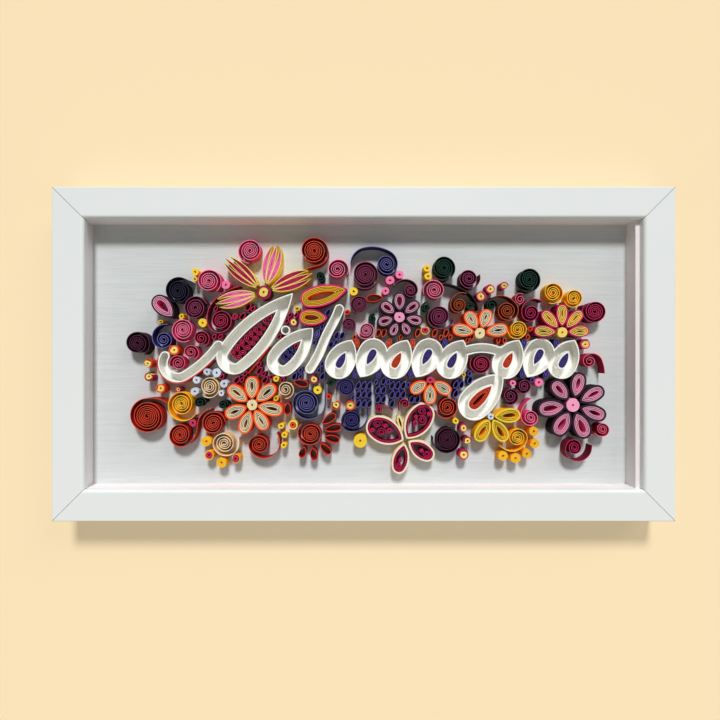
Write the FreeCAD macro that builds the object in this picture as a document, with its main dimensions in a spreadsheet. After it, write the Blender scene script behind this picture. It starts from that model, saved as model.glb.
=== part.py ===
import FreeCAD, Part
import math
import os

# Quilled paper picture in a white shadow-box frame.
# The frame stands on its bottom edge, faces -Y and is centred on X = 0.
# The picture is laid out in millimetres (u, v) from the centre of the sight opening:
# u to the right, v up, and every strip stands on edge on the backing card.

os.makedirs("parts", exist_ok=True)
doc = FreeCAD.newDocument("quilled_picture")
V3 = FreeCAD.Vector

# Driving dimensions

SIZES = [
    ("art_width", 265.8),
    ("margin_left", 19.55),
    ("margin_right", 15.55),
    ("margin_top", 8.85),
    ("margin_bottom", 10.65),
    ("rail_width", 16.8),
    ("frame_depth", 20.0),
    ("lip_thickness", 4.0),
    ("lip_overhang", 5.3),
    ("bead_radius", 1.8),
    ("edge_radius", 0.5),
    ("liner_side", 3.0),
    ("liner_end", 5.0),
    ("liner_depth", 9.1),
    ("card_slack", 0.3),
    ("card_shift", 2.3),
    ("card_thickness", 0.5),
    ("board_thickness", 2.5),
    ("hanger_length", 44.0),
    ("hanger_width", 9.0),
    ("hanger_metal", 0.8),
    ("hanger_rise", 0.8),
    ("hanger_foot", 7.0),
    ("hanger_drop", 4.0),
    ("tooth_pitch", 3.0),
    ("tooth_depth", 1.3),
    ("nail_diameter", 1.4),
    ("nail_length", 8.0),
    ("nail_head", 3.4),
    ("nail_head_height", 0.6),
    ("point_length", 8.0),
    ("point_width", 6.0),
    ("point_metal", 0.6),
    ("point_inset", 40.0),
    ("strip_height", 7.0),
    ("flower_height", 8.5),
    ("coil_paper", 0.35),
    ("scroll_paper", 0.45),
    ("coil_eye", 0.7),
    ("ribbon_width", 6.0),
    ("stem_width", 5.2),
    ("ribbon_floor", 0.5),
    ("ribbon_paper", 0.6),
    ("wrap_paper", 0.9),
    ("loop_paper", 0.5),
    ("loop_gap", 0.4),
    ("edge_paper", 0.55),
    ("filling_paper", 0.35),
    ("glue_gap", 0.15),
]

sheet = doc.addObject("Spreadsheet::Sheet", "sizes")
for row, (alias, value) in enumerate(SIZES, start=1):
    sheet.set(f"A{row}", alias)
    sheet.set(f"B{row}", str(value))
    sheet.setAlias(f"B{row}", alias)
doc.recompute()

ALIASES = sorted((alias for alias, _ in SIZES), key=len, reverse=True)


def size(alias):
    return float(getattr(sheet, alias))


# Round pieces of the drawing: loose coils and tight rolls

COILS = [
    # group, u, v, radius, turns, angle of the outer end, hand, tail
    ("navy_coils", -101.6, 35.3, 7.7, 6, 66, 1, [(0, 4.5)]),
    ("pink_coils", -84.8, 39.8, 6.6, 5, 310, 1, []),
    ("pink_coils", -62.4, 56.3, 6.5, 5, 262, -1, []),
    ("plum_coils", -92.1, 25.6, 6.5, 5, 20, 1, []),
    ("crimson_coils", -77.9, 18.5, 5.3, 5, 0, 1, [(6.6, 170), (14, 52), (26, 28), (40, 6)]),
    ("crimson_coils", -71.0, 20.9, 2.4, 2, 200, 1, []),
    ("red_coils", -27.2, 56.2, 7.9, 6, 282, 1, [(-44, 8)]),
    ("pink_coils", -13.9, 46.4, 5.7, 4, 330, 1, []),
    ("green_coils", -24.0, 42.6, 2.7, 3, 270, 1, []),
    ("plum_coils", 0.5, 43.4, 7.6, 6, 240, 1, []),
    ("blue_coils", 13.2, 49.5, 5.6, 5, 0, -1, [(8, 60), (20, 45), (9, 72)]),
    ("plum_coils", -2.4, 27.1, 5.1, 5, 250, -1, []),
    ("plum_coils", -8.2, 16.0, 3.9, 4, 300, 1, []),
    ("pink_coils", 0.9, 13.1, 4.8, 5, 180, 1, []),
    ("green_coils", 5.1, 19.9, 2.9, 3, 60, 1, []),
    ("plum_coils", 26.1, 35.2, 3.7, 4, 355, -1, [(5.4, 60), (7.6, 92)]),
    ("green_coils", 43.8, 47.1, 6.6, 5, 250, 1, []),
    ("pink_coils", 38.3, 35.0, 5.8, 5, 200, -1, []),
    ("plum_coils", 58.4, 41.9, 5.8, 5, 20, -1, []),
    ("brown_coils", 51.8, 27.0, 4.1, 4, 190, 1, [(6.4, 122)]),
    ("green_coils", 34.6, 26.2, 2.6, 3, 90, 1, []),
    ("plum_coils", 41.2, 20.2, 6.2, 5, 250, -1, [(8.6, 86)]),
    ("green_coils", 58.8, 26.4, 2.2, 3, 0, 1, []),
    ("green_coils", 70.7, 26.9, 3.0, 3, 0, 1, []),
    ("brown_coils", 79.4, 24.2, 5.7, 5, 30, -1, [(10.5, 88)]),
    ("green_coils", 90.5, 40.7, 6.6, 6, 230, 1, []),
    ("rose_coils", 86.2, 30.6, 3.0, 3, 60, 1, []),
    ("magenta_coils", 91.4, 22.6, 4.6, 5, 200, 1, [(7.0, 150)]),
    ("yellow_coils", 103.8, 33.4, 5.7, 5, 250, 1, []),
    ("yellow_coils", 114.9, 30.8, 5.1, 5, 200, 1, []),
    ("magenta_coils", 126.5, 23.9, 6.5, 5, 150, 1, []),
    ("yellow_coils", 84.2, 13.7, 5.3, 5, 180, 1, []),
    ("dark_plum_coils", -124.2, 5.6, 6.7, 5, 300, 1, []),
    ("blue_coils", -109.7, 7.6, 4.2, 4, 300, 1, [(5.6, 100), (7, 108), (0, 2)]),
    ("pink_coils", -99.0, 12.9, 6.3, 5, 300, -1, []),
    ("crimson_coils", -89.1, 8.3, 4.4, 4, 290, 1, []),
    ("rose_coils", -94.8, 0.7, 4.2, 4, 300, 1, []),
    ("rose_coils", -102.4, -5.0, 4.3, 4, 200, -1, []),
    ("cream_coils", -85.0, -18.4, 5.7, 5, 240, 1, []),
    ("green_coils", -89.7, -26.6, 3.1, 3, 0, 1, []),
    ("green_coils", -77.0, -27.9, 2.6, 3, 0, 1, []),
    ("yellow_coils", -100.5, -26.9, 6.2, 5, 128, -1, [(8.1, 196)]),
    ("red_coils", -118.9, -33.5, 9.4, 7, 96, 1, [(0, 2), (14, 34), (0, 2.5)]),
    ("red_coils", -100.5, -44.7, 6.3, 5, 300, -1, [(12, 60), (-10, 75)]),
    ("red_coils", -82.2, -37.9, 6.3, 5, 10, 1, []),
    ("cream_coils", -77.2, -49.2, 5.7, 6, 200, -1, [(7.2, 166), (0, 2)]),
    ("red_coils", -57.9, -50.0, 5.4, 5, 207, -1, [(8.7, 190)]),
    ("cream_coils", -43.0, -19.9, 5.2, 5, 270, 1, []),
    ("blue_coils", -32.1, -26.9, 7.0, 7, 180, -1, [(8.8, 178), (0, 7), (50, 6)]),
    ("purple_coils", -10.2, -18.5, 5.4, 5, 200, -1, []),
    ("purple_coils", -6.8, -36.8, 5.7, 6, 250, -1, [(8.0, 104), (0, 5)]),
    ("red_coils", -29.6, -43.2, 6.7, 5, 130, 1, []),
    ("crimson_coils", 64.0, -5.0, 5.8, 5, 150, 1, []),
    ("red_coils", 45.4, -29.3, 6.0, 5, 200, 1, []),
    ("dark_plum_coils", 45.5, -46.8, 7.6, 6, 170, 1, []),
    ("plum_coils", 87.7, -17.6, 4.1, 4, 200, 1, []),
    ("plum_coils", 80.4, -23.4, 4.6, 5, 240, 1, []),
    ("rose_coils", 123.8, -3.6, 3.3, 4, 140, 1, [(5.6, 118), (22, 20)]),
    ("pink_coils", 91.6, -35.2, 4.1, 5, 260, 1, [(5.6, 90), (12, 50)]),
    ("rose_coils", 131.2, -41.6, 3.7, 4, 270, 1, [(6, 48)]),
    ("magenta_coils", 115.3, -51.0, 4.2, 4, 145, -1, [(6.3, 100), (7.6, 108), (0, 2)]),
    ("yellow_coils", 85.0, -46.0, 5.0, 5, 343, 1, [(8.4, 126)]),
    ("crimson_coils", 22.2, -27.2, 2.7, 3, 180, -1, [(0, 4.0)]),
    ("crimson_coils", 8.7, -29.8, 2.2, 3, 90, 1, [(8, 50), (0, 2)]),
]

RINGS = [
    # group, u, v, radius
    ("yellow_rings", -92.7, 45.2, 2.0), ("yellow_rings", -92.8, 41.2, 1.5),
    ("yellow_rings", -99.9, 20.8, 2.2), ("yellow_rings", -111.6, 17.6, 1.9),
    ("yellow_rings", -88.6, 17.2, 2.9), ("yellow_rings", -36.6, 24.8, 1.6),
    ("yellow_rings", -5.4, 34.6, 2.3), ("yellow_rings", 34.9, 47.4, 2.0),
    ("yellow_rings", 35.4, 43.0, 2.0), ("yellow_rings", -48.0, -13.6, 1.7),
    ("yellow_rings", -48.4, -24.2, 1.8), ("yellow_rings", -25.3, -19.6, 2.3),
    ("yellow_rings", -45.4, -39.3, 1.7), ("yellow_rings", -43.5, -44.3, 1.7),
    ("yellow_rings", -43.8, -50.1, 1.7), ("yellow_rings", -1.7, -47.6, 3.8),
    ("yellow_rings", 50.5, -36.8, 1.7), ("yellow_rings", 55.2, -11.0, 2.0),
    ("amber_rings", -86.4, -48.0, 2.8), ("amber_rings", -78.0, -59.5, 2.8),
    ("amber_rings", 93.6, -42.3, 2.6), ("amber_rings", 93.9, -49.0, 2.6),
    ("amber_rings", 89.8, -54.7, 2.6), ("amber_rings", 83.5, -57.0, 2.8),
    ("amber_rings", 76.6, -56.0, 2.7),
    ("pink_rings", 14.5, 40.5, 2.4), ("pink_rings", 19.7, 43.6, 2.3),
    ("pink_rings", 11.9, 34.8, 2.1), ("pink_rings", 82.0, -16.0, 2.0),
    ("pink_rings", 96.3, -15.6, 2.3), ("pink_rings", -75.8, 38.2, 2.4),
    ("crimson_coils", -94.0, -37.8, 2.1), ("red_drops", -8.9, 22.9, 1.6),
    ("red_drops", -19.3, -23.3, 1.7), ("red_drops", 91.4, 14.1, 1.6),
    ("white_beads", -86.3, -9.8, 2.4), ("white_beads", -80.9, -10.2, 2.4),
    ("white_beads", -91.8, -14.1, 2.3), ("white_beads", -76.6, -16.3, 2.2),
    ("white_beads", -92.8, -20.6, 2.2), ("white_beads", -78.1, -21.4, 2.3),
]

# The drawing's scale and its place in the frame follow from the outermost of them

DRAWN_LEFT = min(u - radius for _, u, _, radius, *_ in COILS)
DRAWN_WIDTH = max(u + radius for _, u, _, radius, *_ in COILS) - DRAWN_LEFT
DRAWN_TOP = max(v + radius for _, _, v, radius, *_ in COILS)
DRAWN_BOTTOM = min(v - radius for _, _, v, radius in RINGS)
DRAWN_HEIGHT = DRAWN_TOP - DRAWN_BOTTOM

# Sizes that follow from the driving ones

DRAWN_SCALE = size("art_width") / DRAWN_WIDTH
SIGHT_W = "( art_width + margin_left + margin_right )"
SIGHT_H = f"( art_width * {DRAWN_HEIGHT} / {DRAWN_WIDTH} + margin_top + margin_bottom )"
WALL = "( rail_width - lip_overhang )"
OUTER_W = f"( {SIGHT_W} + 2 * rail_width )"
OUTER_H = f"( {SIGHT_H} + 2 * rail_width )"
TOTAL_DEPTH = "( frame_depth + hanger_metal + hanger_rise )"
FRONT = f"( 0 - {TOTAL_DEPTH} / 2 )"
BACK = f"( {FRONT} + frame_depth )"
LIP_BACK = f"( {FRONT} + lip_thickness )"
CARD_FACE = f"( {LIP_BACK} + liner_depth )"
CARD_W = f"( {SIGHT_W} + 2 * liner_side - 0.3 )"
CARD_H = f"( {SIGHT_H} + 2 * lip_overhang - 2 * card_slack )"
CARD_X = f"( 0 - {CARD_W} / 2 - card_shift )"
CARD_Z = f"( {WALL} + card_slack )"


def spaced(words):
    return words.replace("(", " ( ").replace(")", " ) ")


def number(words):
    """The value of a sum of cells, the same words that bind gives to a property."""
    terms = [str(size(word)) if word in ALIASES else word for word in spaced(words).split()]
    total = doc.sizes.evalExpression(" ".join(terms))
    return float(total)


def bound(item, places):
    """Bind each named property of the item to its sum of cells."""
    for prop, words in places.items():
        terms = [f"sizes.{word}" if word in ALIASES else word for word in spaced(words).split()]
        item.setExpression(prop, " ".join(terms))


nodes = []


def keep(item, label):
    item.Label = label
    nodes.append(item)
    return item


def box(label, length, width, height, x, y, z):
    item = doc.addObject("Part::Box", label)
    bound(item, {"Length": length, "Width": width, "Height": height,
                 "Placement.Base.x": x, "Placement.Base.y": y, "Placement.Base.z": z})
    return item


# Frame rails

def trapezoid(name, length, width, low, high, mitre):
    """A mitred bar: its length along X shrinks by the mitre on both ends over its width."""
    item = doc.addObject("Part::Wedge", name)
    bound(item, {"Xmin": "0", "Ymin": "0", "Zmin": low, "X2min": mitre, "Z2min": low,
                 "Xmax": length, "Ymax": width, "Zmax": high,
                 "X2max": f"{length} - {mitre}", "Z2max": high})
    return item


def front_edges(shape, width, depth):
    """Numbers of the two long edges of the front face, outer one first."""
    found = {}
    for index, edge in enumerate(shape.Edges, start=1):
        a, b = edge.Vertexes[0].Point, edge.Vertexes[-1].Point
        along_x = abs(a.y - b.y) < 1e-6 and abs(a.z - b.z) < 1e-6
        if along_x and abs(a.z - depth) < 1e-6:
            for place, y in (("outer", 0.0), ("inner", width)):
                if abs(a.y - y) < 1e-6:
                    found[place] = index
    return found["outer"], found["inner"]


def rail(label, length, turn, x, z):
    """One moulding length: wall and lip in one piece, its long front edges rounded.
    Local X runs along the rail, Y from its outer edge inwards, Z from back to front."""
    wall = trapezoid(label + "_wall", length, WALL, "0", "frame_depth", WALL)
    lip = trapezoid(label + "_lip", length, "rail_width", "frame_depth - lip_thickness",
                    "frame_depth", "rail_width")
    bar = doc.addObject("Part::MultiFuse", label + "_bar")
    bar.Shapes = [wall, lip]
    bar.Refine = True
    doc.recompute()
    outer, inner = front_edges(bar.Shape, size("rail_width"), size("frame_depth"))
    rounded = doc.addObject("Part::Fillet", label + "_rounded")
    rounded.Base = bar
    rounded.Edges = [(outer, size("edge_radius"), size("edge_radius")),
                     (inner, size("bead_radius"), size("bead_radius"))]
    upright = FreeCAD.Rotation(V3(1, 0, 0), 90)
    rounded.Placement.Rotation = FreeCAD.Rotation(V3(0, 1, 0), -turn) * upright
    bound(rounded, {"Placement.Base.x": x, "Placement.Base.y": BACK, "Placement.Base.z": z})
    return rounded


def nail_holes(label, base):
    """The top rail with the two holes that the hanger's nails fill."""
    holes = []
    for side, sign in (("left", "0 - "), ("right", "")):
        hole = doc.addObject("Part::Cylinder", f"{label}_{side}_hole")
        hole.Placement.Rotation = FreeCAD.Rotation(V3(1, 0, 0), 90)
        bound(hole, {"Radius": "nail_diameter / 2", "Height": NAIL_IN_WOOD,
                     "Placement.Base.x": f"{sign}{NAIL_X}", "Placement.Base.y": BACK,
                     "Placement.Base.z": HANGER_Z})
        holes.append(hole)
    pair = doc.addObject("Part::MultiFuse", label + "_holes")
    pair.Shapes = holes
    cut = doc.addObject("Part::Cut", label + "_drilled")
    cut.Base = base
    cut.Tool = pair
    return cut


HANGER_Z = f"( {OUTER_H} - hanger_drop - hanger_width / 2 )"
NAIL_X = "( hanger_length / 2 - hanger_foot / 2 )"
NAIL_IN_WOOD = "( nail_length - hanger_metal )"

keep(rail("bottom_rail", OUTER_W, 0, f"0 - {OUTER_W} / 2", "0"), "frame_bottom_rail")
top = rail("top_rail", OUTER_W, 180, f"{OUTER_W} / 2", OUTER_H)
keep(nail_holes("top_rail", top), "frame_top_rail")
keep(rail("left_stile", OUTER_H, 270, f"0 - {OUTER_W} / 2", OUTER_H), "frame_left_stile")
keep(rail("right_stile", OUTER_H, 90, f"{OUTER_W} / 2", "0"), "frame_right_stile")

# Liner, backing card, board, points

keep(box("backing_card", CARD_W, "card_thickness", CARD_H, CARD_X, CARD_FACE, CARD_Z),
     "backing_card")
keep(box("back_board", CARD_W, "board_thickness", CARD_H, CARD_X,
         f"{CARD_FACE} + card_thickness", CARD_Z), "back_board")
keep(box("liner_bottom", CARD_W, "liner_depth", "liner_end", CARD_X, LIP_BACK, CARD_Z),
     "liner_bottom")
keep(box("liner_top", CARD_W, "liner_depth", "liner_end", CARD_X, LIP_BACK,
         f"{CARD_Z} + {CARD_H} - liner_end"), "liner_top")
keep(box("liner_left", "liner_side", "liner_depth", f"{CARD_H} - 2 * liner_end", CARD_X,
         LIP_BACK, f"{CARD_Z} + liner_end"), "liner_left")
keep(box("liner_right", "liner_side", "liner_depth", f"{CARD_H} - 2 * liner_end",
         f"{CARD_X} + {CARD_W} - liner_side", LIP_BACK, f"{CARD_Z} + liner_end"), "liner_right")


def retaining_points():
    """Flat metal points: pressed into the rebate wall, they lie on the back board."""
    y = f"{CARD_FACE} + card_thickness + board_thickness"
    places = []
    for sign in ("0 - ", ""):
        x = f"{sign}( {OUTER_W} / 2 - rail_width - point_inset ) - point_width / 2"
        places.append(("point_width", "point_length", x, WALL))
        places.append(("point_width", "point_length", x, f"{OUTER_H} - {WALL} - point_length"))
    for z in (f"{OUTER_H} / 2 - point_inset", f"{OUTER_H} / 2 + point_inset - point_width"):
        places.append(("point_length", "point_width", f"0 - {OUTER_W} / 2 + {WALL}", z))
        places.append(("point_length", "point_width", f"{OUTER_W} / 2 - {WALL} - point_length", z))
    points = [box(f"point_{n}", length, "point_metal", height, x, y, z)
              for n, (length, height, x, z) in enumerate(places, start=1)]
    group = doc.addObject("Part::Compound", "points")
    group.Links = points
    return group


keep(retaining_points(), "retaining_points")


def hanger():
    """Bent metal strip: two feet on the wood, a raised middle with a saw-tooth lower edge."""
    half = size("hanger_length") / 2
    foot, rise, metal = size("hanger_foot"), size("hanger_rise"), size("hanger_metal")
    low = half - foot
    high = low - 2 * rise
    lower = [(-half, 0), (-low, 0), (-high, rise), (high, rise), (low, 0), (half, 0)]
    upper = [(x, y + metal) for x, y in reversed(lower)]
    outline = [V3(x, y, 0) for x, y in lower + upper]
    plate = Part.Face(Part.makePolygon(outline + outline[:1]))
    plate = plate.extrude(V3(0, 0, size("hanger_width")))
    pitch, depth = size("tooth_pitch"), size("tooth_depth")
    count = max(1, int(2 * high / pitch) - 1)
    for n in range(count):
        x = (n - (count - 1) / 2) * pitch
        notch = [V3(x - pitch / 2, -1, -1e-3), V3(x + pitch / 2, -1, -1e-3), V3(x, -1, depth)]
        tool = Part.Face(Part.makePolygon(notch + notch[:1])).extrude(V3(0, rise + metal + 2, 0))
        plate = plate.cut(tool)
    for sign in (-1, 1):
        at = V3(sign * (half - foot / 2), -1, size("hanger_width") / 2)
        plate = plate.cut(Part.makeCylinder(size("nail_diameter") / 2, metal + 2, at, V3(0, 1, 0)))
    item = doc.addObject("Part::Feature", "hanger_plate")
    item.Shape = plate
    bound(item, {"Placement.Base.y": BACK, "Placement.Base.z": f"{HANGER_Z} - hanger_width / 2"})
    return item


keep(hanger(), "sawtooth_hanger")


def nails():
    parts = []
    for side, sign in (("left", "0 - "), ("right", "")):
        x = f"{sign}{NAIL_X}"
        shank = doc.addObject("Part::Cylinder", f"{side}_nail_shank")
        shank.Placement.Rotation = FreeCAD.Rotation(V3(1, 0, 0), 90)
        bound(shank, {"Radius": "nail_diameter / 2", "Height": "nail_length",
                      "Placement.Base.x": x, "Placement.Base.y": f"{BACK} + hanger_metal",
                      "Placement.Base.z": HANGER_Z})
        head = doc.addObject("Part::Cylinder", f"{side}_nail_head")
        head.Placement.Rotation = FreeCAD.Rotation(V3(1, 0, 0), 90)
        bound(head, {"Radius": "nail_head / 2", "Height": "nail_head_height",
                     "Placement.Base.x": x,
                     "Placement.Base.y": f"{BACK} + hanger_metal + nail_head_height",
                     "Placement.Base.z": HANGER_Z})
        nail = doc.addObject("Part::MultiFuse", f"{side}_nail")
        nail.Shapes = [shank, head]
        parts.append(nail)
    pair = doc.addObject("Part::Compound", "nails")
    pair.Links = parts
    return pair


keep(nails(), "hanger_nails")

# Drawing of the picture: points, strips and closed loops on the card's face

ART_X = number(f"0 - {SIGHT_W} / 2 + margin_left") - DRAWN_LEFT * DRAWN_SCALE
ART_Z = number("rail_width + margin_bottom") - DRAWN_BOTTOM * DRAWN_SCALE
ART_Y = number(CARD_FACE)


def spot(u, v):
    """The place on the card of a point of the drawing."""
    return V3(ART_X + u * DRAWN_SCALE, ART_Y, ART_Z + v * DRAWN_SCALE)


def unit(degrees):
    return math.cos(math.radians(degrees)), math.sin(math.radians(degrees))


def arc(first, middle, last):
    return Part.Arc(spot(*first), spot(*middle), spot(*last)).toShape()


def line(first, last):
    return Part.LineSegment(spot(*first), spot(*last)).toShape()


def raised(faces, height):
    """Stand flat faces up from the card, towards the front."""
    solids = []
    for face in faces:
        solids += face.extrude(V3(0, -height, 0)).Solids
    return solids


def run(start, heading, steps):
    """Follow a strip from its start. Each step is (radius, sweep): a positive radius turns
    left, a negative one right, and a zero radius is a straight stretch of that length."""
    u, v = start
    places = []
    for radius, sweep in steps:
        places.append((u, v, heading, radius, sweep))
        c, s = unit(heading)
        if radius == 0:
            u, v = u + sweep * c, v + sweep * s
        else:
            heading_after = heading + math.copysign(sweep, radius)
            c2, s2 = unit(heading_after)
            u, v = u + radius * (s2 - s), v - radius * (c2 - c)
            heading = heading_after
    return places, (u, v), heading


def side_edges(places, offset):
    """Edges and end points of a strip's side that lies offset to the left of its middle."""
    edges = []
    for u, v, heading, radius, sweep in places:
        c, s = unit(heading)
        first = (u - offset * s, v + offset * c)
        if radius == 0:
            last = (first[0] + sweep * c, first[1] + sweep * s)
            edges.append((line(first, last), first, last))
            continue
        side = radius - offset
        turn = math.copysign(sweep, radius)
        cu, cv = u - radius * s, v + radius * c
        c1, s1 = unit(heading + turn / 2)
        c2, s2 = unit(heading + turn)
        middle = (cu + side * s1, cv - side * c1)
        last = (cu + side * s2, cv - side * c2)
        edges.append((arc(first, middle, last), first, last))
    return edges


def strip(start, heading, steps, paper, round_ends=False):
    """The face of one paper strip seen on edge, of even thickness along its run."""
    places, end, end_heading = run(start, heading, steps)
    left = side_edges(places, paper / 2)
    right = side_edges(places, -paper / 2)
    caps = []
    for tip, a, b, way in ((end, left[-1][2], right[-1][2], end_heading),
                           (start, right[0][1], left[0][1], heading + 180)):
        if round_ends:
            c, s = unit(way)
            caps.append(arc(a, (tip[0] + c * paper / 2, tip[1] + s * paper / 2), b))
        else:
            caps.append(line(a, b))
    edges = [edge for edge, _, _ in left] + [edge for edge, _, _ in right] + caps
    return Part.Face(Part.Wire(Part.__sortEdges__(edges)))


def drop(tip, way, length, width, inset=0.0, shoulder=72.0):
    """A pinched coil's outline: round far end, sides bowed in to a tip. None if the inset
    leaves nothing of it."""
    r = width / 2
    d = length - r
    c, s = unit(shoulder)
    px, py = d + r * c, r * s
    side = (px * px + py * py) / (2 * (px * c + py * s))
    qx, qy = px - side * c, py - side * s
    r_in, side_in = r - inset, side - inset
    if r_in < 0.15:
        return None
    tip_x = qx - math.sqrt(side_in * side_in - qy * qy)
    half = (math.degrees(math.atan2(-qy, tip_x - qx)) + shoulder) / 2
    ch, sh = unit(half)
    local = {
        "tip": (tip_x, 0), "up": (d + r_in * c, r_in * s), "down": (d + r_in * c, -r_in * s),
        "end": (d + r_in, 0), "side_up": (qx + side_in * ch, qy + side_in * sh),
        "side_down": (qx + side_in * ch, -qy - side_in * sh),
    }
    cw, sw = unit(way)
    at = {name: (tip[0] + x * cw - y * sw, tip[1] + x * sw + y * cw)
          for name, (x, y) in local.items()}
    edges = [arc(at["up"], at["end"], at["down"]), arc(at["down"], at["side_down"], at["tip"]),
             arc(at["tip"], at["side_up"], at["up"])]
    return Part.Face(Part.Wire(edges))


def leaf(base, tip, bow_left, bow_right, inset=0.0):
    """A leaf between two points, each side bowed to the left of the way from base to tip;
    a negative bow lies on the right. The inset runs along both sides."""
    du, dv = tip[0] - base[0], tip[1] - base[1]
    length = math.hypot(du, dv)
    c, s = du / length, dv / length
    circles = []
    for bow, way in ((bow_left, -1), (bow_right, 1)):
        radius = (length * length / 4 + bow * bow) / (2 * bow)
        circles.append((length / 2, bow - radius, radius + way * inset))
    (x1, y1, r1), (_, y2, r2) = circles
    y = (r1 * r1 - r2 * r2 + y2 * y2 - y1 * y1) / (2 * (y2 - y1))
    reach = r1 * r1 - (y - y1) ** 2
    if reach <= 0 or y1 + r1 - (y2 + r2) < 0.1:
        return None
    half = math.sqrt(reach)
    ends = ((x1 - half, y), (x1 + half, y))
    middles = ((x1, y1 + r1), (x1, y2 + r2))

    def place(x, y):
        return base[0] + x * c - y * s, base[1] + x * s + y * c

    a, b = place(*ends[0]), place(*ends[1])
    edges = [arc(a, place(*middles[0]), b), arc(b, place(*middles[1]), a)]
    return Part.Face(Part.Wire(edges))


def band(outline, outer, inner):
    """A closed strip between two insets of an outline, or the whole inset if none is left."""
    face, hole = outline(outer), outline(inner)
    if face is None:
        return []
    return [face] if hole is None else [face.cut(hole)]


def nest(outline, first, paper, gap, count):
    """Closed strips one inside another, as when a loop is wound round pins."""
    faces = []
    for n in range(count):
        outer = first + n * (paper + gap)
        faces += band(outline, outer, outer + paper)
    return faces


def disc(u, v, radius):
    circle = Part.Circle(spot(u, v), V3(0, -1, 0), radius * DRAWN_SCALE)
    return Part.Face(Part.Wire(circle.toShape()))


TOOL_HOLE = 0.55

# Groups of like pieces: each group is one node, and its faces are kept to fit later pieces

groups = {}
placed = []


def add(label, faces, height="strip_height"):
    group = groups.setdefault(label, [])
    group += raised(faces, size(height))
    placed.extend((face, face.BoundBox) for face in faces)


def room(u, v, wanted):
    """The radius that a round piece can have there: what is wanted, or less where a piece
    that was placed before stands closer."""
    centre = spot(u, v)
    radius = wanted * DRAWN_SCALE
    clear = size("glue_gap")
    reach = radius + clear
    for face, bounds in placed:
        near_x = bounds.XMin - reach < centre.x < bounds.XMax + reach
        near_z = bounds.ZMin - reach < centre.z < bounds.ZMax + reach
        if near_x and near_z:
            gap = face.distToShape(Part.Vertex(centre))[0]
            radius = min(radius, gap - clear)
            reach = radius + clear
    return max(radius, size("coil_eye")) / DRAWN_SCALE


def coil(label, u, v, wanted, turns, end, hand, tail=()):
    """A loose coil inside a circle. Its outer end lies at the angle end; hand is 1 where the
    strip winds inwards to the left. The tail's steps lead on from there, and in them a
    positive radius goes on round the coil."""
    radius = room(u, v, wanted)
    paper = size("coil_paper") / DRAWN_SCALE
    outer = radius - paper / 2
    eye = min(size("coil_eye"), outer / 3)
    halves = 2 * min(turns, max(1, int((outer - eye) / (1.4 * paper))))
    step = (outer - eye) / (halves - 0.5)
    c, s = unit(end)
    start = (u + outer * c, v + outer * s)
    inward = end + 90 * hand
    _, far, far_heading = run(start, inward + 180,
                              [(-hand * r if r else 0, sweep) for r, sweep in tail])
    steps = [(hand * r if r else 0, sweep) for r, sweep in reversed(tail)]
    steps += [(hand * (outer - n * step), 180) for n in range(halves)]
    face = strip(far, far_heading + 180, steps, paper)
    placed.append((disc(u, v, radius), disc(u, v, radius).BoundBox))
    add(label, [face])


def ring(label, u, v, wanted, hole, height="strip_height"):
    """A tight roll with the hole that the quilling tool leaves."""
    radius = room(u, v, wanted)
    add(label, [disc(u, v, radius).cut(disc(u, v, hole))], height)


def wrapped_ring(core, wrap, u, v, wanted, wrap_share=0.3):
    """A tight roll with a strip of a second colour wound on."""
    radius = room(u, v, wanted)
    inner = radius * (1 - wrap_share)
    add(wrap, [disc(u, v, radius).cut(disc(u, v, inner))])
    groups.setdefault(core, [])
    groups[core] += raised([disc(u, v, inner).cut(disc(u, v, TOOL_HOLE))], size("strip_height"))


# White ribbon: hollow leaves, stems and berry rings that share walls where they meet

LEAVES = [
    # tip u, tip v, way from the tip to the round end, length, width
    (-38.8, 33.6, 227.2, 57.5, 19.0),
    (-27.8, 14.6, 227.2, 33.4, 17.2),
    (76.6, -11.0, 225.9, 31.8, 18.0),
]
CHAIN_FIRST = (-11.8, -2.4)
CHAIN_PITCH = 15.3
CHAIN_COUNT = 9
CHAIN_BARE = 5
CHAIN_SLANT = 62.0
CHAIN_LENGTH = 23.2
CHAIN_WIDTH = 15.8
LEAF_SHOULDER = 80.0
for place in range(CHAIN_COUNT):
    if place == CHAIN_BARE:
        continue
    tip_up = place % 2 == 0
    way = CHAIN_SLANT + 180 if tip_up else CHAIN_SLANT
    c, s = unit(way)
    LEAVES.append((CHAIN_FIRST[0] + place * CHAIN_PITCH - c * CHAIN_LENGTH / 2,
                   CHAIN_FIRST[1] - s * CHAIN_LENGTH / 2, way, CHAIN_LENGTH, CHAIN_WIDTH))

STEMS = [
    # start, heading, steps: the curl at the left, the tendril, the arch over the open place
    ((-109.24, -1.05), 240.0, [(7.9, 75), (7.9, 75), (60, 24)]),
    ((-29.5, -8.0), 55.0, [(60, 15), (-60, 10), (60, 10)]),
    ((54.9, 1.2), 25.0, [(-24, 50)]),
]
BERRIES = [(-43.0, 13.2, 2.5)]


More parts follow.
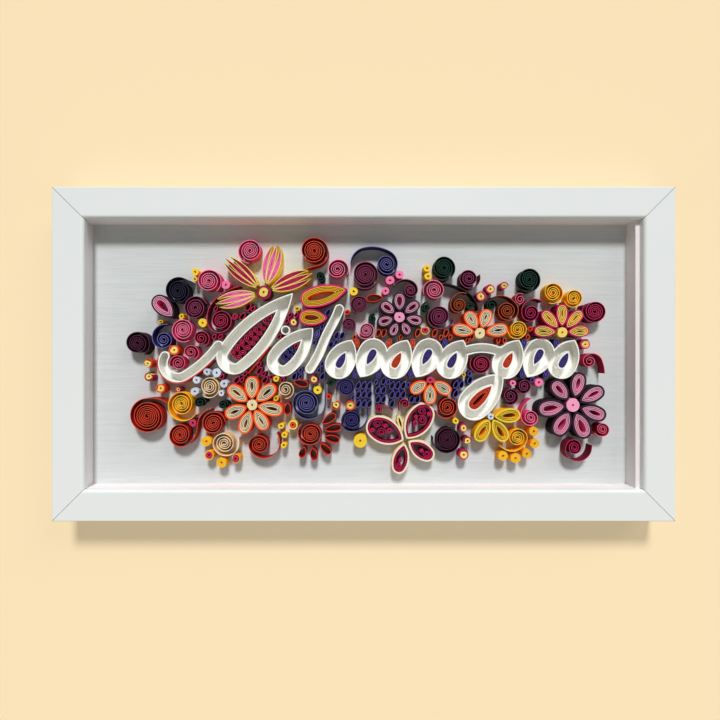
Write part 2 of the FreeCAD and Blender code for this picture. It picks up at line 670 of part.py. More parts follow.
def white_ribbon():
    """The ribbon's walls, which are the joined channels less the same channels drawn one wall
    in, and the white sheet that lies between them."""
    width, wall, stem = size("ribbon_width"), size("ribbon_paper"), size("stem_width")
    outer, inner = [], []
    for tip_u, tip_v, way, length, breadth in LEAVES:
        def outline(inset, at=(tip_u, tip_v), way=way, length=length, breadth=breadth):
            return drop(at, way, length, breadth, inset, LEAF_SHOULDER)
        outer += band(outline, 0.0, width)
        inner += band(outline, wall, width - wall)
    for start, heading, steps in STEMS:
        outer.append(strip(start, heading, steps, stem, round_ends=True))
        inner.append(strip(start, heading, steps, stem - 2 * wall, round_ends=True))
    strips = raised(outer, size("strip_height"))
    channels = raised(inner, size("strip_height"))
    walls = strips[0].fuse(strips[1:]).cut(channels[0].fuse(channels[1:]))
    groups["white_leaf_ribbon"] = walls.removeSplitter().Solids
    sheets = raised(inner, size("ribbon_floor"))
    groups["white_ribbon_floor"] = sheets[0].fuse(sheets[1:]).removeSplitter().Solids
    placed.extend((face, face.BoundBox) for face in outer)


white_ribbon()
for u, v, r in BERRIES:
    add("white_leaf_ribbon", [disc(u, v, r).cut(disc(u, v, r - size("ribbon_paper")))])
    placed.append((disc(u, v, r), disc(u, v, r).BoundBox))


# Coloured loops in the pockets of the leaves

def fern(label, tip, way, length, width, first, step, lean=48.0):
    """Small drops in two rows along the middle of a leaf's pocket, pointing to its tip."""
    edge = size("ribbon_width") + size("glue_gap")
    r = width / 2 - edge
    d = length - width / 2
    cw, sw = unit(way)
    x = first
    while x < d + r * 0.35:
        half = r * min(1.0, (x - edge) / (0.72 * (d - edge)))
        reach = (half - 0.35) / math.sin(math.radians(lean))
        for side in (1, -1):
            if reach > 1.6:
                foot_u = tip[0] + x * cw + side * 0.28 * -sw
                foot_v = tip[1] + x * sw + side * 0.28 * cw
                heading = way + side * (180 - lean)
                breadth = step * math.sin(math.radians(lean)) * 0.86

                def outline(inset, at=(foot_u, foot_v), heading=heading, reach=reach,
                            breadth=breadth):
                    return drop(at, heading, reach, min(breadth, reach * 0.8), inset)
                add(label, nest(outline, 0.0, size("filling_paper"), 0.5, 2))
        x += step


def husk(label, tip, way, length, width, first, count, gap=0.5):
    """Closed strips one inside another in a leaf's pocket."""
    def outline(inset):
        return drop(tip, way, length, width, inset, LEAF_SHOULDER)
    add(label, nest(outline, size("ribbon_width") + first, size("filling_paper"), gap, count))


FILLINGS = ["crimson_filling", "purple_filling", "orange_filling"]
for place, (tip_u, tip_v, way, length, width) in enumerate(LEAVES):
    if place == 0:
        fern(FILLINGS[0], (tip_u, tip_v), way, length, width, 19.0, 3.6)
    elif place == 1:
        fern(FILLINGS[1], (tip_u, tip_v), way, length, width, 14.0, 3.4)
    else:
        colour = FILLINGS[2] if place % 3 == 2 else FILLINGS[1]
        husk(colour, (tip_u, tip_v), way, length, width, size("glue_gap"), 3, 0.45)

# Petals of the flowers: a wrap of one colour round loops of another

def petal(wrap, inner, tip, way, length, width, loops, layers=1.0):
    def outline(inset):
        return drop(tip, way, length, width, inset)
    paper = size("wrap_paper") * layers
    add(wrap, band(outline, 0.0, paper), "flower_height")
    add(inner, nest(outline, paper, size("loop_paper"), size("loop_gap"), loops),
        "flower_height")


def flower(wrap, inner, centre, u, v, core, petals, loops, layers=1.0):
    """Petals round a tight roll; each petal is (way, reach from the centre, width)."""
    add(centre, [disc(u, v, core).cut(disc(u, v, TOOL_HOLE))], "flower_height")
    for way, reach, width in petals:
        c, s = unit(way)
        foot = core + size("glue_gap")
        petal(wrap, inner, (u + foot * c, v + foot * s), way, reach - foot, width, loops, layers)


flower("black_petal_wraps", "pink_petal_loops", "pink_flower_centres", 19.6, 20.4, 2.9,
       [(90, 13.4, 6.8), (37, 13.2, 6.0), (-12, 13.0, 6.0), (-62, 11.4, 5.6), (-113, 11.6, 5.6),
        (-164, 12.6, 6.2), (143, 12.8, 6.4)], 2)
flower("black_petal_wraps", "pink_petal_loops", "pink_flower_centres", 114.4, -27.8, 3.7,
       [(77, 18.3, 8.0), (28, 19.0, 8.0), (-20, 19.0, 8.0), (-68, 19.6, 9.2), (-120, 19.2, 9.2),
        (-172, 19.6, 9.2), (131, 17.3, 8.4)], 3, 1.3)
flower("orange_petal_wraps", "cream_petal_loops", "cream_flower_centres", -61.1, -27.7, 2.9,
       [(90, 15.6, 7.2), (40, 16.4, 7.0), (-11, 17.2, 7.2), (-60, 15.6, 6.8), (-108, 16.4, 6.8),
        (-158, 15.6, 7.0), (142, 16.2, 7.2)], 3)
flower("orange_petal_wraps", "cream_petal_loops", "cream_flower_centres", 63.6, 11.4, 2.9,
       [(122, 13.8, 6.6), (71, 13.8, 6.6), (170, 15.2, 6.4), (10, 15.4, 6.6)], 3)
flower("magenta_wraps", "yellow_petal_loops", "yellow_flower_centres", 108.4, 12.0, 2.8,
       [(133, 15.6, 5.8), (90, 15.4, 5.8), (47, 15.8, 5.8), (177, 15.4, 5.8), (3, 14.8, 5.8)],
       3, 0.8)
flower("orange_petal_wraps", "cream_petal_loops", "crimson_coils", 36.4, -14.0, 2.0,
       [(-148, 12.6, 6.2), (-91, 13.4, 6.6), (-33, 13.2, 6.4)], 3)
flower("golden_petal_loops", "golden_petal_loops", "white_beads", 69.6, -34.2, 1.7,
       [(4, 16.0, 7.0), (-58, 15.4, 7.0), (-120, 15.2, 7.0)], 3, 0.6)


# Flower of striped leaves: each leaf is three loops side by side, edged with a light strip

def striped_leaf(edge, inner, u, v, core, way, reach, width):
    c, s = unit(way)

    def place(along, across):
        return u + along * c - across * s, v + along * s + across * c
    light, dark = size("edge_paper"), size("loop_paper")
    third = width / 3
    gap, spread = size("glue_gap"), 1.35
    near, far = third / 2 + gap - spread, width / 2 - spread
    rows = [((core + 0.3, 0.0), (reach, 0.0), third / 2, -third / 2),
            ((core + 0.3, 0.5), (reach - 1.6, 2 * spread - 0.5), far, near),
            ((core + 0.3, -0.5), (reach - 1.6, 0.5 - 2 * spread), -near, -far)]
    for base, tip, bow_left, bow_right in rows:
        def outline(inset, base=base, tip=tip, bow_left=bow_left, bow_right=bow_right):
            return leaf(place(*base), place(*tip), bow_left, bow_right, inset)
        add(edge, band(outline, 0.0, light), "flower_height")
        add(inner, nest(outline, light + 0.1, dark, 0.3, 1), "flower_height")


LEAF_FLOWER = (-54.6, 33.8)
LEAF_CORE = 3.9
add("leaf_flower_loops", [disc(*LEAF_FLOWER, LEAF_CORE).cut(disc(*LEAF_FLOWER, 2.6))],
    "flower_height")
add("yellow_flower_centres", [disc(*LEAF_FLOWER, 2.6).cut(disc(*LEAF_FLOWER, 0.6))],
    "flower_height")
for shade, way, reach, width in (("leaf_flower_loops", 138.5, 29.0, 8.6),
                                 ("leaf_flower_orchid_loops", 74.5, 27.8, 9.6),
                                 ("leaf_flower_loops", 21.5, 29.0, 9.2),
                                 ("leaf_flower_orchid_loops", 193.5, 27.6, 9.0)):
    striped_leaf("leaf_flower_edges", shade, *LEAF_FLOWER, LEAF_CORE, way, reach, width)

# Single leaves and drops

SINGLES = [
    # wrap, inner, tip u, tip v, way, length, width, loops, thickness of the wrap
    ("magenta_wraps", "orange_leaf_loops", -8.8, 35.6, 194.0, 26.4, 9.8, 4),
    ("magenta_wraps", "orange_leaf_loops", -19.8, 19.6, 177.0, 15.6, 8.2, 3),
    ("black_petal_wraps", "pink_petal_loops", -103.9, 20.2, 134.0, 15.4, 9.2, 3),
]
for wrap, inner, u, v, way, length, width, loops in SINGLES:
    petal(wrap, inner, (u, v), way, length, width, loops)

DROPS = [
    # group, tip u, tip v, way, length, width, loops
    ("red_drops", 10.6, 31.2, 184.0, 9.0, 3.8, 2),
    ("red_drops", -38.6, -14.9, -13.0, 8.2, 3.4, 2),
    ("red_drops", -41.5, -26.6, -95.0, 6.8, 3.6, 2),
    ("green_coils", -15.5, -13.6, 215.0, 5.6, 3.4, 2),
    ("purple_drops", -24.3, 13.6, 244.0, 5.2, 2.6, 2),
]
SUNBURST = (-29.6, -43.2)
for way, reach in ((36, 17.4), (11, 17.6), (-15, 16.8), (-46, 16.2), (-80, 15.4), (-110, 14.6)):
    c, s = unit(way)
    DROPS.append(("red_drops", SUNBURST[0] + 8.2 * c, SUNBURST[1] + 8.2 * s, way, reach - 8.2,
                  3.6, 2))

for place in (0, 1, 2, 3, 6, 7):
    u = CHAIN_FIRST[0] + place * CHAIN_PITCH
    above = "orange_filling" if place < 3 else "purple_filling"
    if place % 2 == 0:
        DROPS.append((above, u + 8.3, 3.4, 93.0, 5.0, 2.4, 2))
        DROPS.append(("purple_filling", u + 7.0, -8.2, 273.0, 5.0, 2.4, 2))
    else:
        DROPS.append((above, u + 9.9, 3.5, 78.0, 5.0, 2.4, 2))
        if place != 3:
            DROPS.append(("purple_filling", u + 5.4, -8.3, 258.0, 5.0, 2.4, 2))

for label, u, v, way, length, width, loops in DROPS:
    def outline(inset, tip=(u, v), way=way, length=length, width=width):
        return drop(tip, way, length, width, inset)
    add(label, nest(outline, 0.0, size("scroll_paper"), 0.45, loops))


# Butterfly

def wing(tip_u, tip_v, way, length, width, loops, curls):
    """A wing's light outline, closed loops one inside another, and coils in the middle."""
    def outline(inset):
        return drop((tip_u, tip_v), way, length, width, inset, shoulder=66.0)
    add("butterfly_wing_edges", band(outline, 0.0, 0.7))
    add("butterfly_wing_filling", nest(outline, 0.9, size("coil_paper"), 0.45, loops))
    for along, across, radius, turns in curls:
        c, s = unit(way)
        coil("butterfly_wing_filling", tip_u + along * c - across * s,
             tip_v + along * s + across * c, radius, turns, way + 180, 1)


wing(21.9, -47.2, 154.0, 22.2, 13.2, 2,
     [(15.9, -2.6, 2.6, 3), (14.6, 2.7, 2.5, 3), (10.2, 0.1, 1.9, 2)])
wing(23.6, -46.4, 56.0, 22.4, 12.8, 2,
     [(16.2, 2.5, 2.5, 3), (15.2, -2.6, 2.4, 3), (10.7, 0.0, 1.8, 2)])
wing(22.4, -49.0, 257.0, 17.0, 7.8, 2, [(12.8, 0.0, 1.9, 2)])
wing(24.7, -48.0, -34.0, 16.4, 8.4, 2, [(11.9, 0.0, 2.2, 2)])


def body_outline(inset):
    return drop((21.5, -42.6), 106.0, 9.2, 2.0, inset)


add("butterfly_body", nest(body_outline, 0.0, 0.4, 0.2, 2))

# Loose coils

for entry in COILS:
    coil(*entry)

# Long strips that link the pieces

SCROLLS = [
    # group, start, heading, steps
    ("dark_scroll_strips", (44.6, 38.9), -8.0, [(-30, 25), (-14, 50)]),
    ("red_scroll_strips", (-112.98, -2.17), 255.0, [(10.95, 67), (10.95, 68), (63.05, 16)]),
    ("red_scroll_strips", (-63.3, -10.5), 49.6, [(210, 5.0)]),
]
for label, start, heading, steps in SCROLLS:
    add(label, [strip(start, heading, steps, size("scroll_paper"))])

# Tight rolls

for label, u, v, r in RINGS:
    ring(label, u, v, r, TOOL_HOLE)

WRAPPED = [
    # core, wrap, u, v, radius
    ("yellow_cores", "orange_ring_wraps", -104.2, 2.4, 2.9),
    ("yellow_cores", "orange_ring_wraps", -118.6, -5.0, 2.5),
    ("yellow_cores", "magenta_ring_wraps", -117.9, -12.4, 2.5),
    ("yellow_cores", "magenta_ring_wraps", -102.0, -19.3, 2.6),
    ("yellow_cores", "orange_ring_wraps", -111.6, -18.7, 2.6),
    ("yellow_cores", "magenta_ring_wraps", -38.4, 17.6, 2.4),
    ("yellow_cores", "magenta_ring_wraps", 64.6, 31.8, 2.8),
    ("yellow_cores", "magenta_ring_wraps", 69.6, 35.9, 2.6),
    ("yellow_cores", "magenta_ring_wraps", 77.3, 37.5, 2.3),
    ("yellow_cores", "magenta_ring_wraps", 121.8, 5.6, 2.8),
    ("yellow_cores", "magenta_ring_wraps", 55.1, -40.6, 2.5),
    ("yellow_cores", "magenta_ring_wraps", 55.1, -55.2, 2.9),
    ("yellow_cores", "magenta_ring_wraps", -27.2, -13.8, 2.4),
    ("yellow_cores", "magenta_ring_wraps", 57.0, -47.6, 2.4),
    ("yellow_cores", "orange_ring_wraps", -15.3, -27.9, 2.5),
    ("yellow_cores", "orange_ring_wraps", -7.4, -28.1, 2.7),
    ("magenta_ring_wraps", "yellow_cores", 33.9, 13.4, 2.5),
    ("orange_ring_wraps", "yellow_cores", -38.8, -38.8, 2.6),
    ("magenta_ring_wraps", "amber_rings", -84.8, -55.5, 2.7),
    ("magenta_ring_wraps", "amber_rings", -70.5, -57.3, 2.7),
]
for core, wrap, u, v, r in WRAPPED:
    wrapped_ring(core, wrap, u, v, r)

# Small drops that fill the rest of the ground beside the ribbon, in staggered rows

FILLS = [
    # group, left u, low v, right u, high v, way of the drops
    ("purple_drops", -6.0, -27.0, 35.0, -9.0, 250.0),
    ("purple_drops", 43.0, -24.0, 60.0, -9.0, 250.0),
    ("purple_drops", -38.0, -12.0, -10.0, 24.0, 245.0),
    ("purple_drops", 74.0, -14.0, 112.0, -9.0, 250.0),
    ("crimson_filling", -82.0, -14.0, -36.0, 26.0, 235.0),
    ("orange_filling", -6.0, 4.0, 60.0, 15.0, 70.0),
    ("orange_filling", 74.0, 4.0, 104.0, 10.0, 80.0),
]
FILL_SIZES = [
    # length, width, pitch across, pitch up
    (4.8, 2.5, 3.1, 2.5),
    (3.4, 1.8, 1.7, 1.7),
]


def fits(face):
    """Whether a face keeps the glue's gap from all that was placed before."""
    clear = size("glue_gap")
    own = face.BoundBox
    for other, bounds in placed:
        near_x = bounds.XMin - clear < own.XMax and own.XMin < bounds.XMax + clear
        near_z = bounds.ZMin - clear < own.ZMax and own.ZMin < bounds.ZMax + clear
        if near_x and near_z and face.distToShape(other)[0] < clear:
            return False
    return True


def fill(label, left, low, right, high, way, length, width, across, up):
    """Rows of drops, each a hollow loop, wherever one fits."""
    c, s = unit(way)
    for row in range(int((high - low) / up) + 1):
        v = low + row * up
        for column in range(int((right - left) / across) + 1):
            u = left + (column + (row % 2) / 2) * across
            tip = (u - c * length / 2, v - s * length / 2)
            face = drop(tip, way, length, width)
            if fits(face):
                add(label, [face.cut(drop(tip, way, length, width, size("coil_paper")))])
                placed.append((face, face.BoundBox))


for sizes in FILL_SIZES:
    for place in FILLS:
        fill(*place, *sizes)

for label, solids in groups.items():
    item = doc.addObject("Part::Feature", label)
    item.Shape = solids[0] if len(solids) == 1 else Part.makeCompound(solids)
    keep(item, label)

# Check and write

doc.recompute()
for item in doc.Objects:
    if "Invalid" in item.State or "Error" in item.State:
        raise RuntimeError(f"{item.Label}: {item.State}")
for item in nodes:
    shape = item.Shape
    if shape.isNull() or not shape.isValid():
        raise RuntimeError(f"{item.Label} has no valid shape")
for item in nodes:
    item.Shape.exportStep(f"parts/{item.Label}.step")
print(len(nodes), "nodes,", sum(len(item.Shape.Solids) for item in nodes), "solids")
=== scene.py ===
import bpy
import math
import random
from mathutils import Matrix, Vector


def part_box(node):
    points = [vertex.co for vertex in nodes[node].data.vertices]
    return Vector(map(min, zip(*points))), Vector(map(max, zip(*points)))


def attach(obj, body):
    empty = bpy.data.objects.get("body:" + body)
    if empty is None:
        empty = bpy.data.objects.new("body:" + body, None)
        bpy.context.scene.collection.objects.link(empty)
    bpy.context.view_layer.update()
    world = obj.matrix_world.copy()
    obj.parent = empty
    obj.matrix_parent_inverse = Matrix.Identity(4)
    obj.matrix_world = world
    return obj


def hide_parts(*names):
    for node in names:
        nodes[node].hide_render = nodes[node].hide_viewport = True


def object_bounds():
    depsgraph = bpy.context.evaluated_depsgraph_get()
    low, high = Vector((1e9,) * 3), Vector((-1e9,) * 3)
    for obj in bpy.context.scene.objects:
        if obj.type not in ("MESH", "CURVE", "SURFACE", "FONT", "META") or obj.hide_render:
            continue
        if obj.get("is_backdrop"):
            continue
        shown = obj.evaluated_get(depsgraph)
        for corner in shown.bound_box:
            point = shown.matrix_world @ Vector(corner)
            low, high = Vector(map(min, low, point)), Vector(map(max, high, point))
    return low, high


# Quilled paper picture in a white shadow-box frame, hung on a cream wall.
# The picture is laid out in millimetres (u, v), u to the right and v up; every paper strip
# stands on edge on the card and is marched along its run from one upright edge.

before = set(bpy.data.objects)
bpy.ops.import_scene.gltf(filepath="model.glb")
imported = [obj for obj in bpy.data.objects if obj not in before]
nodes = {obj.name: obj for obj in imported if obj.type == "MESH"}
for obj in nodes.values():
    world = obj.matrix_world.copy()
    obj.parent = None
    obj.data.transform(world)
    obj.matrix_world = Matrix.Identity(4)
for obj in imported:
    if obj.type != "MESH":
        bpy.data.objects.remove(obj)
size_lines = {"before": [[float(x) for x in corner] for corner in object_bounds()]}

# Sizes of the picture, in millimetres

MM = 0.001


def face(name, corner, axis):
    """Where a CAD piece ends: corner 0 is its low end and 1 its high end on the axis."""
    return round(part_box(name)[corner][axis] / MM, 3)


# The card's face, the height of its middle, and the two widths of the paper strips
CARD = face("backing_card", 0, 1)
CENTRE = face("frame_top_rail", 1, 2) / 2
LOW = CARD - face("red_coils", 0, 1)
HIGH = CARD - face("pink_petal_loops", 0, 1)

# The paper's thickness, the hole that the quilling tool leaves in a roll, and the distance
# from one winding to the next in a loose coil and in a tight roll
PAPER = 0.3
TOOL_HOLE = 0.55
LOOSE_PITCH = 1.32
TIGHT_PITCH = 0.32

# A petal's wrap, the gap to the loops in it, their distance, and the gap at a glued joint
WRAP = 0.9
LOOP_GAP = 0.2
LOOP_PITCH = 0.8
GLUE_GAP = 0.15

# How far the flat faces of an arc may leave their circle
SAG = 0.022
chance = random.Random(7)


def srgb(r, g, b):
    """A linear colour from one read off a screen."""
    out = []
    for x in (r, g, b):
        x = x / 255
        out.append(x / 12.92 if x <= 0.04045 else ((x + 0.055) / 1.055) ** 2.4)
    return (*out, 1.0)


def unit(degrees):
    """The way that an angle points."""
    return math.cos(math.radians(degrees)), math.sin(math.radians(degrees))


def only(obj):
    """Selects one object alone."""
    bpy.ops.object.select_all(action="DESELECT")
    obj.select_set(True)
    bpy.context.view_layer.objects.active = obj


# Runs of strips

def run(start, heading, steps):
    """Follow a strip from its start: (radius, sweep) turns left where the radius is positive
    and right where it is negative; a zero radius is a straight stretch of that length."""
    u, v = start
    places = []
    for radius, sweep in steps:
        places.append((u, v, heading, radius, sweep))
        c, s = unit(heading)
        if radius == 0:
            u, v = u + sweep * c, v + sweep * s
        else:
            after = heading + math.copysign(sweep, radius)
            c2, s2 = unit(after)
            u, v = u + radius * (s2 - s), v - radius * (c2 - c)
            heading = after
    return places, (u, v), heading


def drop_run(length, width, inset, shoulder=72.0):
    """The closed run of a pinched loop with its tip at the origin and its round end on the
    right; None where the inset leaves nothing."""
    r = width / 2
    d = length - r
    c, s = unit(shoulder)
    px, py = d + r * c, r * s
    side = (px * px + py * py) / (2 * (px * c + py * s))
    qx, qy = px - side * c, py - side * s
    r_in, side_in = r - inset, side - inset
    if r_in < 0.12:
        return None
    tip = qx - math.sqrt(side_in * side_in - qy * qy)
    first = math.degrees(math.atan2(-qy, tip - qx))
    return run((tip, 0.0), first - 90,
               [(-side_in, first - shoulder), (-r_in, 2 * shoulder), (-side_in, first - shoulder)])[0]


def leaf_run(base, tip, bow_left, bow_right, inset):
    """The closed run of a leaf between two points; both sides are bowed to the left of the
    way from base to tip, and a negative bow lies on the right."""
    du, dv = tip[0] - base[0], tip[1] - base[1]
    length = math.hypot(du, dv)
    c, s = du / length, dv / length
    circles = []
    for bow, way in ((bow_left, -1), (bow_right, 1)):
        radius = (length * length / 4 + bow * bow) / (2 * bow)
        circles.append((bow - radius, radius + way * inset))
    (y1, r1), (y2, r2) = circles
    y = (r1 * r1 - r2 * r2 + y2 * y2 - y1 * y1) / (2 * (y2 - y1))
    reach = r1 * r1 - (y - y1) ** 2
    if reach <= 0 or y1 + r1 - (y2 + r2) < 0.1:
        return None
    half = math.sqrt(reach)
    way = math.degrees(math.atan2(s, c))
    turn1 = math.degrees(math.asin(half / r1))
    turn2 = math.degrees(math.asin(half / r2))

    def place(x):
        return base[0] + x * c - y * s, base[1] + x * s + y * c
    there = run(place(length / 2 - half), way + turn1, [(-r1, 2 * abs(turn1))])[0]
    back = run(place(length / 2 + half), way + 180 - turn2, [(r2, 2 * abs(turn2))])[0]
    return there + back


def coil_run(u, v, radius, end, hand, tail=()):
    """A strip wound inwards in half turns, its last turns looser than its middle, led on from
    its outer end by the tail."""
    outer = radius - PAPER / 2
    eye = min(0.5, outer / 4)
    halves = 2 * max(2, round(outer / LOOSE_PITCH))
    weights = [1 + 1.5 * math.exp(-n / 2.2) + chance.uniform(-0.12, 0.12) for n in range(halves)]
    share = (outer - eye) / sum(weights)
    c, s = unit(end)
    inward = end + 90 * hand
    _, far, far_heading = run((u + outer * c, v + outer * s), inward + 180,
                              [(-hand * r if r else 0, sweep) for r, sweep in tail])
    steps = [(hand * r if r else 0, sweep) for r, sweep in reversed(tail)]
    now = outer
    for weight in weights:
        steps.append((hand * now, 180))
        now -= weight * share
    return run(far, far_heading + 180, steps)[0]


# Modelling: one upright edge, copied and marched along each run

def upright_edge(height):
    """A plane stood on the card and cut back to one upright edge."""
    bpy.ops.object.select_all(action="DESELECT")
    bpy.ops.mesh.primitive_plane_add(size=height * MM,
                                     location=(0, (CARD - height / 2) * MM, CENTRE * MM))
    obj = bpy.context.active_object
    bpy.ops.object.transform_apply(location=True, rotation=True, scale=True)
    bpy.ops.object.mode_set(mode="EDIT")
    bpy.ops.mesh.select_mode(type="VERT")
    bpy.ops.mesh.select_all(action="DESELECT")
    bpy.ops.object.mode_set(mode="OBJECT")
    for vertex in obj.data.vertices:
        vertex.select = vertex.co.x < 0
    bpy.ops.object.mode_set(mode="EDIT")
    bpy.ops.mesh.delete(type="VERT")
    bpy.ops.mesh.select_all(action="SELECT")
    bpy.ops.transform.translate(value=(-height * MM / 2, 0, 0))
    bpy.ops.object.mode_set(mode="OBJECT")
    obj.name = f"upright_edge_{height}"
    return obj


edges = {height: upright_edge(height) for height in (LOW, HIGH)}
groups = {}
known = {}


def march(places, height=LOW):
    """One strip: the upright edge spun round each arc and extruded along each straight."""
    source = edges[height]
    obj = source.copy()
    obj.data = source.data.copy()
    bpy.context.collection.objects.link(obj)
    only(obj)
    bpy.ops.object.mode_set(mode="EDIT")
    bpy.ops.mesh.select_all(action="SELECT")
    u, v = places[0][:2]
    bpy.ops.transform.translate(value=(u * MM, 0, v * MM))
    for u, v, heading, radius, sweep in places:
        c, s = unit(heading)
        if radius == 0:
            bpy.ops.mesh.extrude_edges_move(
                TRANSFORM_OT_translate={"value": (sweep * c * MM, 0, sweep * s * MM)})
            continue
        bend = 2 * math.degrees(math.acos(max(0.9, 1 - SAG / abs(radius))))
        bpy.ops.mesh.spin(steps=max(1, math.ceil(sweep / bend)), angle=math.radians(sweep),
                          center=((u - radius * s) * MM, 0, (v + radius * c + CENTRE) * MM),
                          axis=(0, math.copysign(1, radius), 0))
    bpy.ops.object.mode_set(mode="OBJECT")
    bpy.context.collection.objects.unlink(obj)
    return obj


def lay(label, places, height=LOW):
    """A strip of its own in a group of like pieces."""
    groups.setdefault(label, []).append(march(places, height))


def lay_copy(label, key, places, u, v, way, height=LOW):
    """A strip that other pieces repeat: marched once at the origin, then copied into place."""
    key = (*key, height)
    if key not in known:
        known[key] = march(places, height)
    obj = known[key].copy()
    obj.data = known[key].data.copy()
    lift = Matrix.Translation((0, 0, CENTRE * MM))
    turn = Matrix.Rotation(-math.radians(way), 4, "Y")
    obj.data.transform(Matrix.Translation((u * MM, 0, v * MM)) @ lift @ turn @ lift.inverted())
    groups.setdefault(label, []).append(obj)


def loops(label, tip, way, length, width, first, pitch, count, height=LOW, shoulder=72.0):
    """Pinched loops one inside another."""
    for n in range(count):
        inset = first + n * pitch
        places = drop_run(length, width, inset, shoulder)
        if places is not None:
            lay_copy(label, (length, width, round(inset, 3), shoulder), places, *tip, way, height)


def roll(label, u, v, radius, hole=TOOL_HOLE, height=LOW):
    """A tight roll that fills the ring between the hole and the radius."""
    outer, eye = radius - PAPER / 2, hole + PAPER / 2
    halves = max(2, 2 * round((outer - eye) / TIGHT_PITCH))
    step = (outer - eye) / (halves - 1) if halves > 2 else outer - eye
    steps = [(outer - n * step, 180) for n in range(halves)]
    places = run((outer, 0.0), 90, steps)[0]
    lay_copy(label, ("roll", round(radius, 3), round(hole, 3)), places, u, v,
             chance.uniform(0, 360), height)


# Flowers: petals wound of a wrap and finer loops inside it, round a tight roll

def petal(wrap, inner, tip, way, length, width, loops_inside, layers=1.0):
    """A few turns of the wrap's paper with spaced loops of the inner paper in them."""
    thick = WRAP * layers
    turns = max(1, round(thick / PAPER))
    pitch = (thick - PAPER) / max(1, turns - 1)
    loops(wrap, tip, way, length, width, PAPER / 2, pitch, turns, HIGH)
    loops(inner, tip, way, length, width, thick + LOOP_GAP, LOOP_PITCH, loops_inside, HIGH)


def flower(wrap, inner, centre, u, v, core, petals, loops_inside, layers=1.0):
    """A tight roll with petals round it, each given as its way, its reach and its width."""
    roll(centre, u, v, core, TOOL_HOLE, HIGH)
    foot = core + GLUE_GAP
    for way, reach, width in petals:
        c, s = unit(way)
        petal(wrap, inner, (u + foot * c, v + foot * s), way, reach - foot, width,
              loops_inside, layers)


flower("black_petal_wraps", "pink_petal_loops", "pink_flower_centres", 19.6, 20.4, 2.9,
       [(90, 13.4, 6.8), (37, 13.2, 6.0), (-12, 13.0, 6.0), (-62, 11.4, 5.6), (-113, 11.6, 5.6),
        (-164, 12.6, 6.2), (143, 12.8, 6.4)], 2)
flower("black_petal_wraps", "pink_petal_loops", "pink_flower_centres", 114.4, -27.8, 3.7,
       [(77, 18.3, 8.0), (28, 19.0, 8.0), (-20, 19.0, 8.0), (-68, 19.6, 9.2), (-120, 19.2, 9.2),
        (-172, 19.6, 9.2), (131, 17.3, 8.4)], 3, 1.3)
flower("orange_petal_wraps", "cream_petal_loops", "cream_flower_centres", -61.1, -27.7, 2.9,
       [(90, 15.6, 7.2), (40, 16.4, 7.0), (-11, 17.2, 7.2), (-60, 15.6, 6.8), (-108, 16.4, 6.8),
        (-158, 15.6, 7.0), (142, 16.2, 7.2)], 3)
flower("orange_petal_wraps", "cream_petal_loops", "cream_flower_centres", 63.6, 11.4, 2.9,
       [(122, 13.8, 6.6), (71, 13.8, 6.6), (170, 15.2, 6.4), (10, 15.4, 6.6)], 3)
flower("magenta_wraps", "yellow_petal_loops", "yellow_flower_centres", 108.4, 12.0, 2.8,
       [(133, 15.6, 5.8), (90, 15.4, 5.8), (47, 15.8, 5.8), (177, 15.4, 5.8), (3, 14.8, 5.8)],
       3, 0.8)
flower("orange_petal_wraps", "cream_petal_loops", "crimson_coils", 36.4, -14.0, 2.0,
       [(-148, 12.6, 6.2), (-91, 13.4, 6.6), (-33, 13.2, 6.4)], 3)
flower("golden_petal_loops", "golden_petal_loops", "white_beads", 69.6, -34.2, 1.7,
       [(4, 16.0, 7.0), (-58, 15.4, 7.0), (-120, 15.2, 7.0)], 3, 0.6)


# Flower of striped leaves

def leaves_inside(label, base, tip, bow_left, bow_right, first, pitch, count):
    """Leaf outlines one inside another."""
    for n in range(count):
        places = leaf_run(base, tip, bow_left, bow_right, first + n * pitch)
        if places is not None:
            lay(label, places, HIGH)


LEAF_FLOWER = (-54.6, 33.8)
LEAF_CORE = 3.9
LEAF_CENTRE = 2.6
LEAF_SPREAD = 1.35
roll("leaf_flower_loops", *LEAF_FLOWER, LEAF_CORE, LEAF_CENTRE, HIGH)
roll("yellow_flower_centres", *LEAF_FLOWER, LEAF_CENTRE, 0.6, HIGH)
for shade, way, reach, width in (("leaf_flower_loops", 138.5, 29.0, 8.6),
                                 ("leaf_flower_orchid_loops", 74.5, 27.8, 9.6),
                                 ("leaf_flower_loops", 21.5, 29.0, 9.2),
                                 ("leaf_flower_orchid_loops", 193.5, 27.6, 9.0)):
    c, s = unit(way)
    third = width / 3
    near, far = third / 2 + GLUE_GAP - LEAF_SPREAD, width / 2 - LEAF_SPREAD
    foot, long = LEAF_CORE + 0.3, reach - 1.6
    for base, tip, bow_left, bow_right in (
            ((foot, 0.0), (reach, 0.0), third / 2, -third / 2),
            ((foot, 0.5), (long, 2 * LEAF_SPREAD - 0.5), far, near),
            ((foot, -0.5), (long, 0.5 - 2 * LEAF_SPREAD), -near, -far)):
        ends = [(LEAF_FLOWER[0] + a * c - b * s, LEAF_FLOWER[1] + a * s + b * c)
                for a, b in (base, tip)]
        leaves_inside("leaf_flower_edges", *ends, bow_left, bow_right, PAPER / 2, 0.28, 1)
        leaves_inside(shade, *ends, bow_left, bow_right, 0.44, 0.29, 5)

# Single leaves and drops

SINGLES = [
    # wrap, inner, tip u, tip v, way, length, width, loops
    ("magenta_wraps", "orange_leaf_loops", -8.8, 35.6, 194.0, 26.4, 9.8, 4),
    ("magenta_wraps", "orange_leaf_loops", -19.8, 19.6, 177.0, 15.6, 8.2, 3),
    ("black_petal_wraps", "pink_petal_loops", -103.9, 20.2, 134.0, 15.4, 9.2, 3),
]

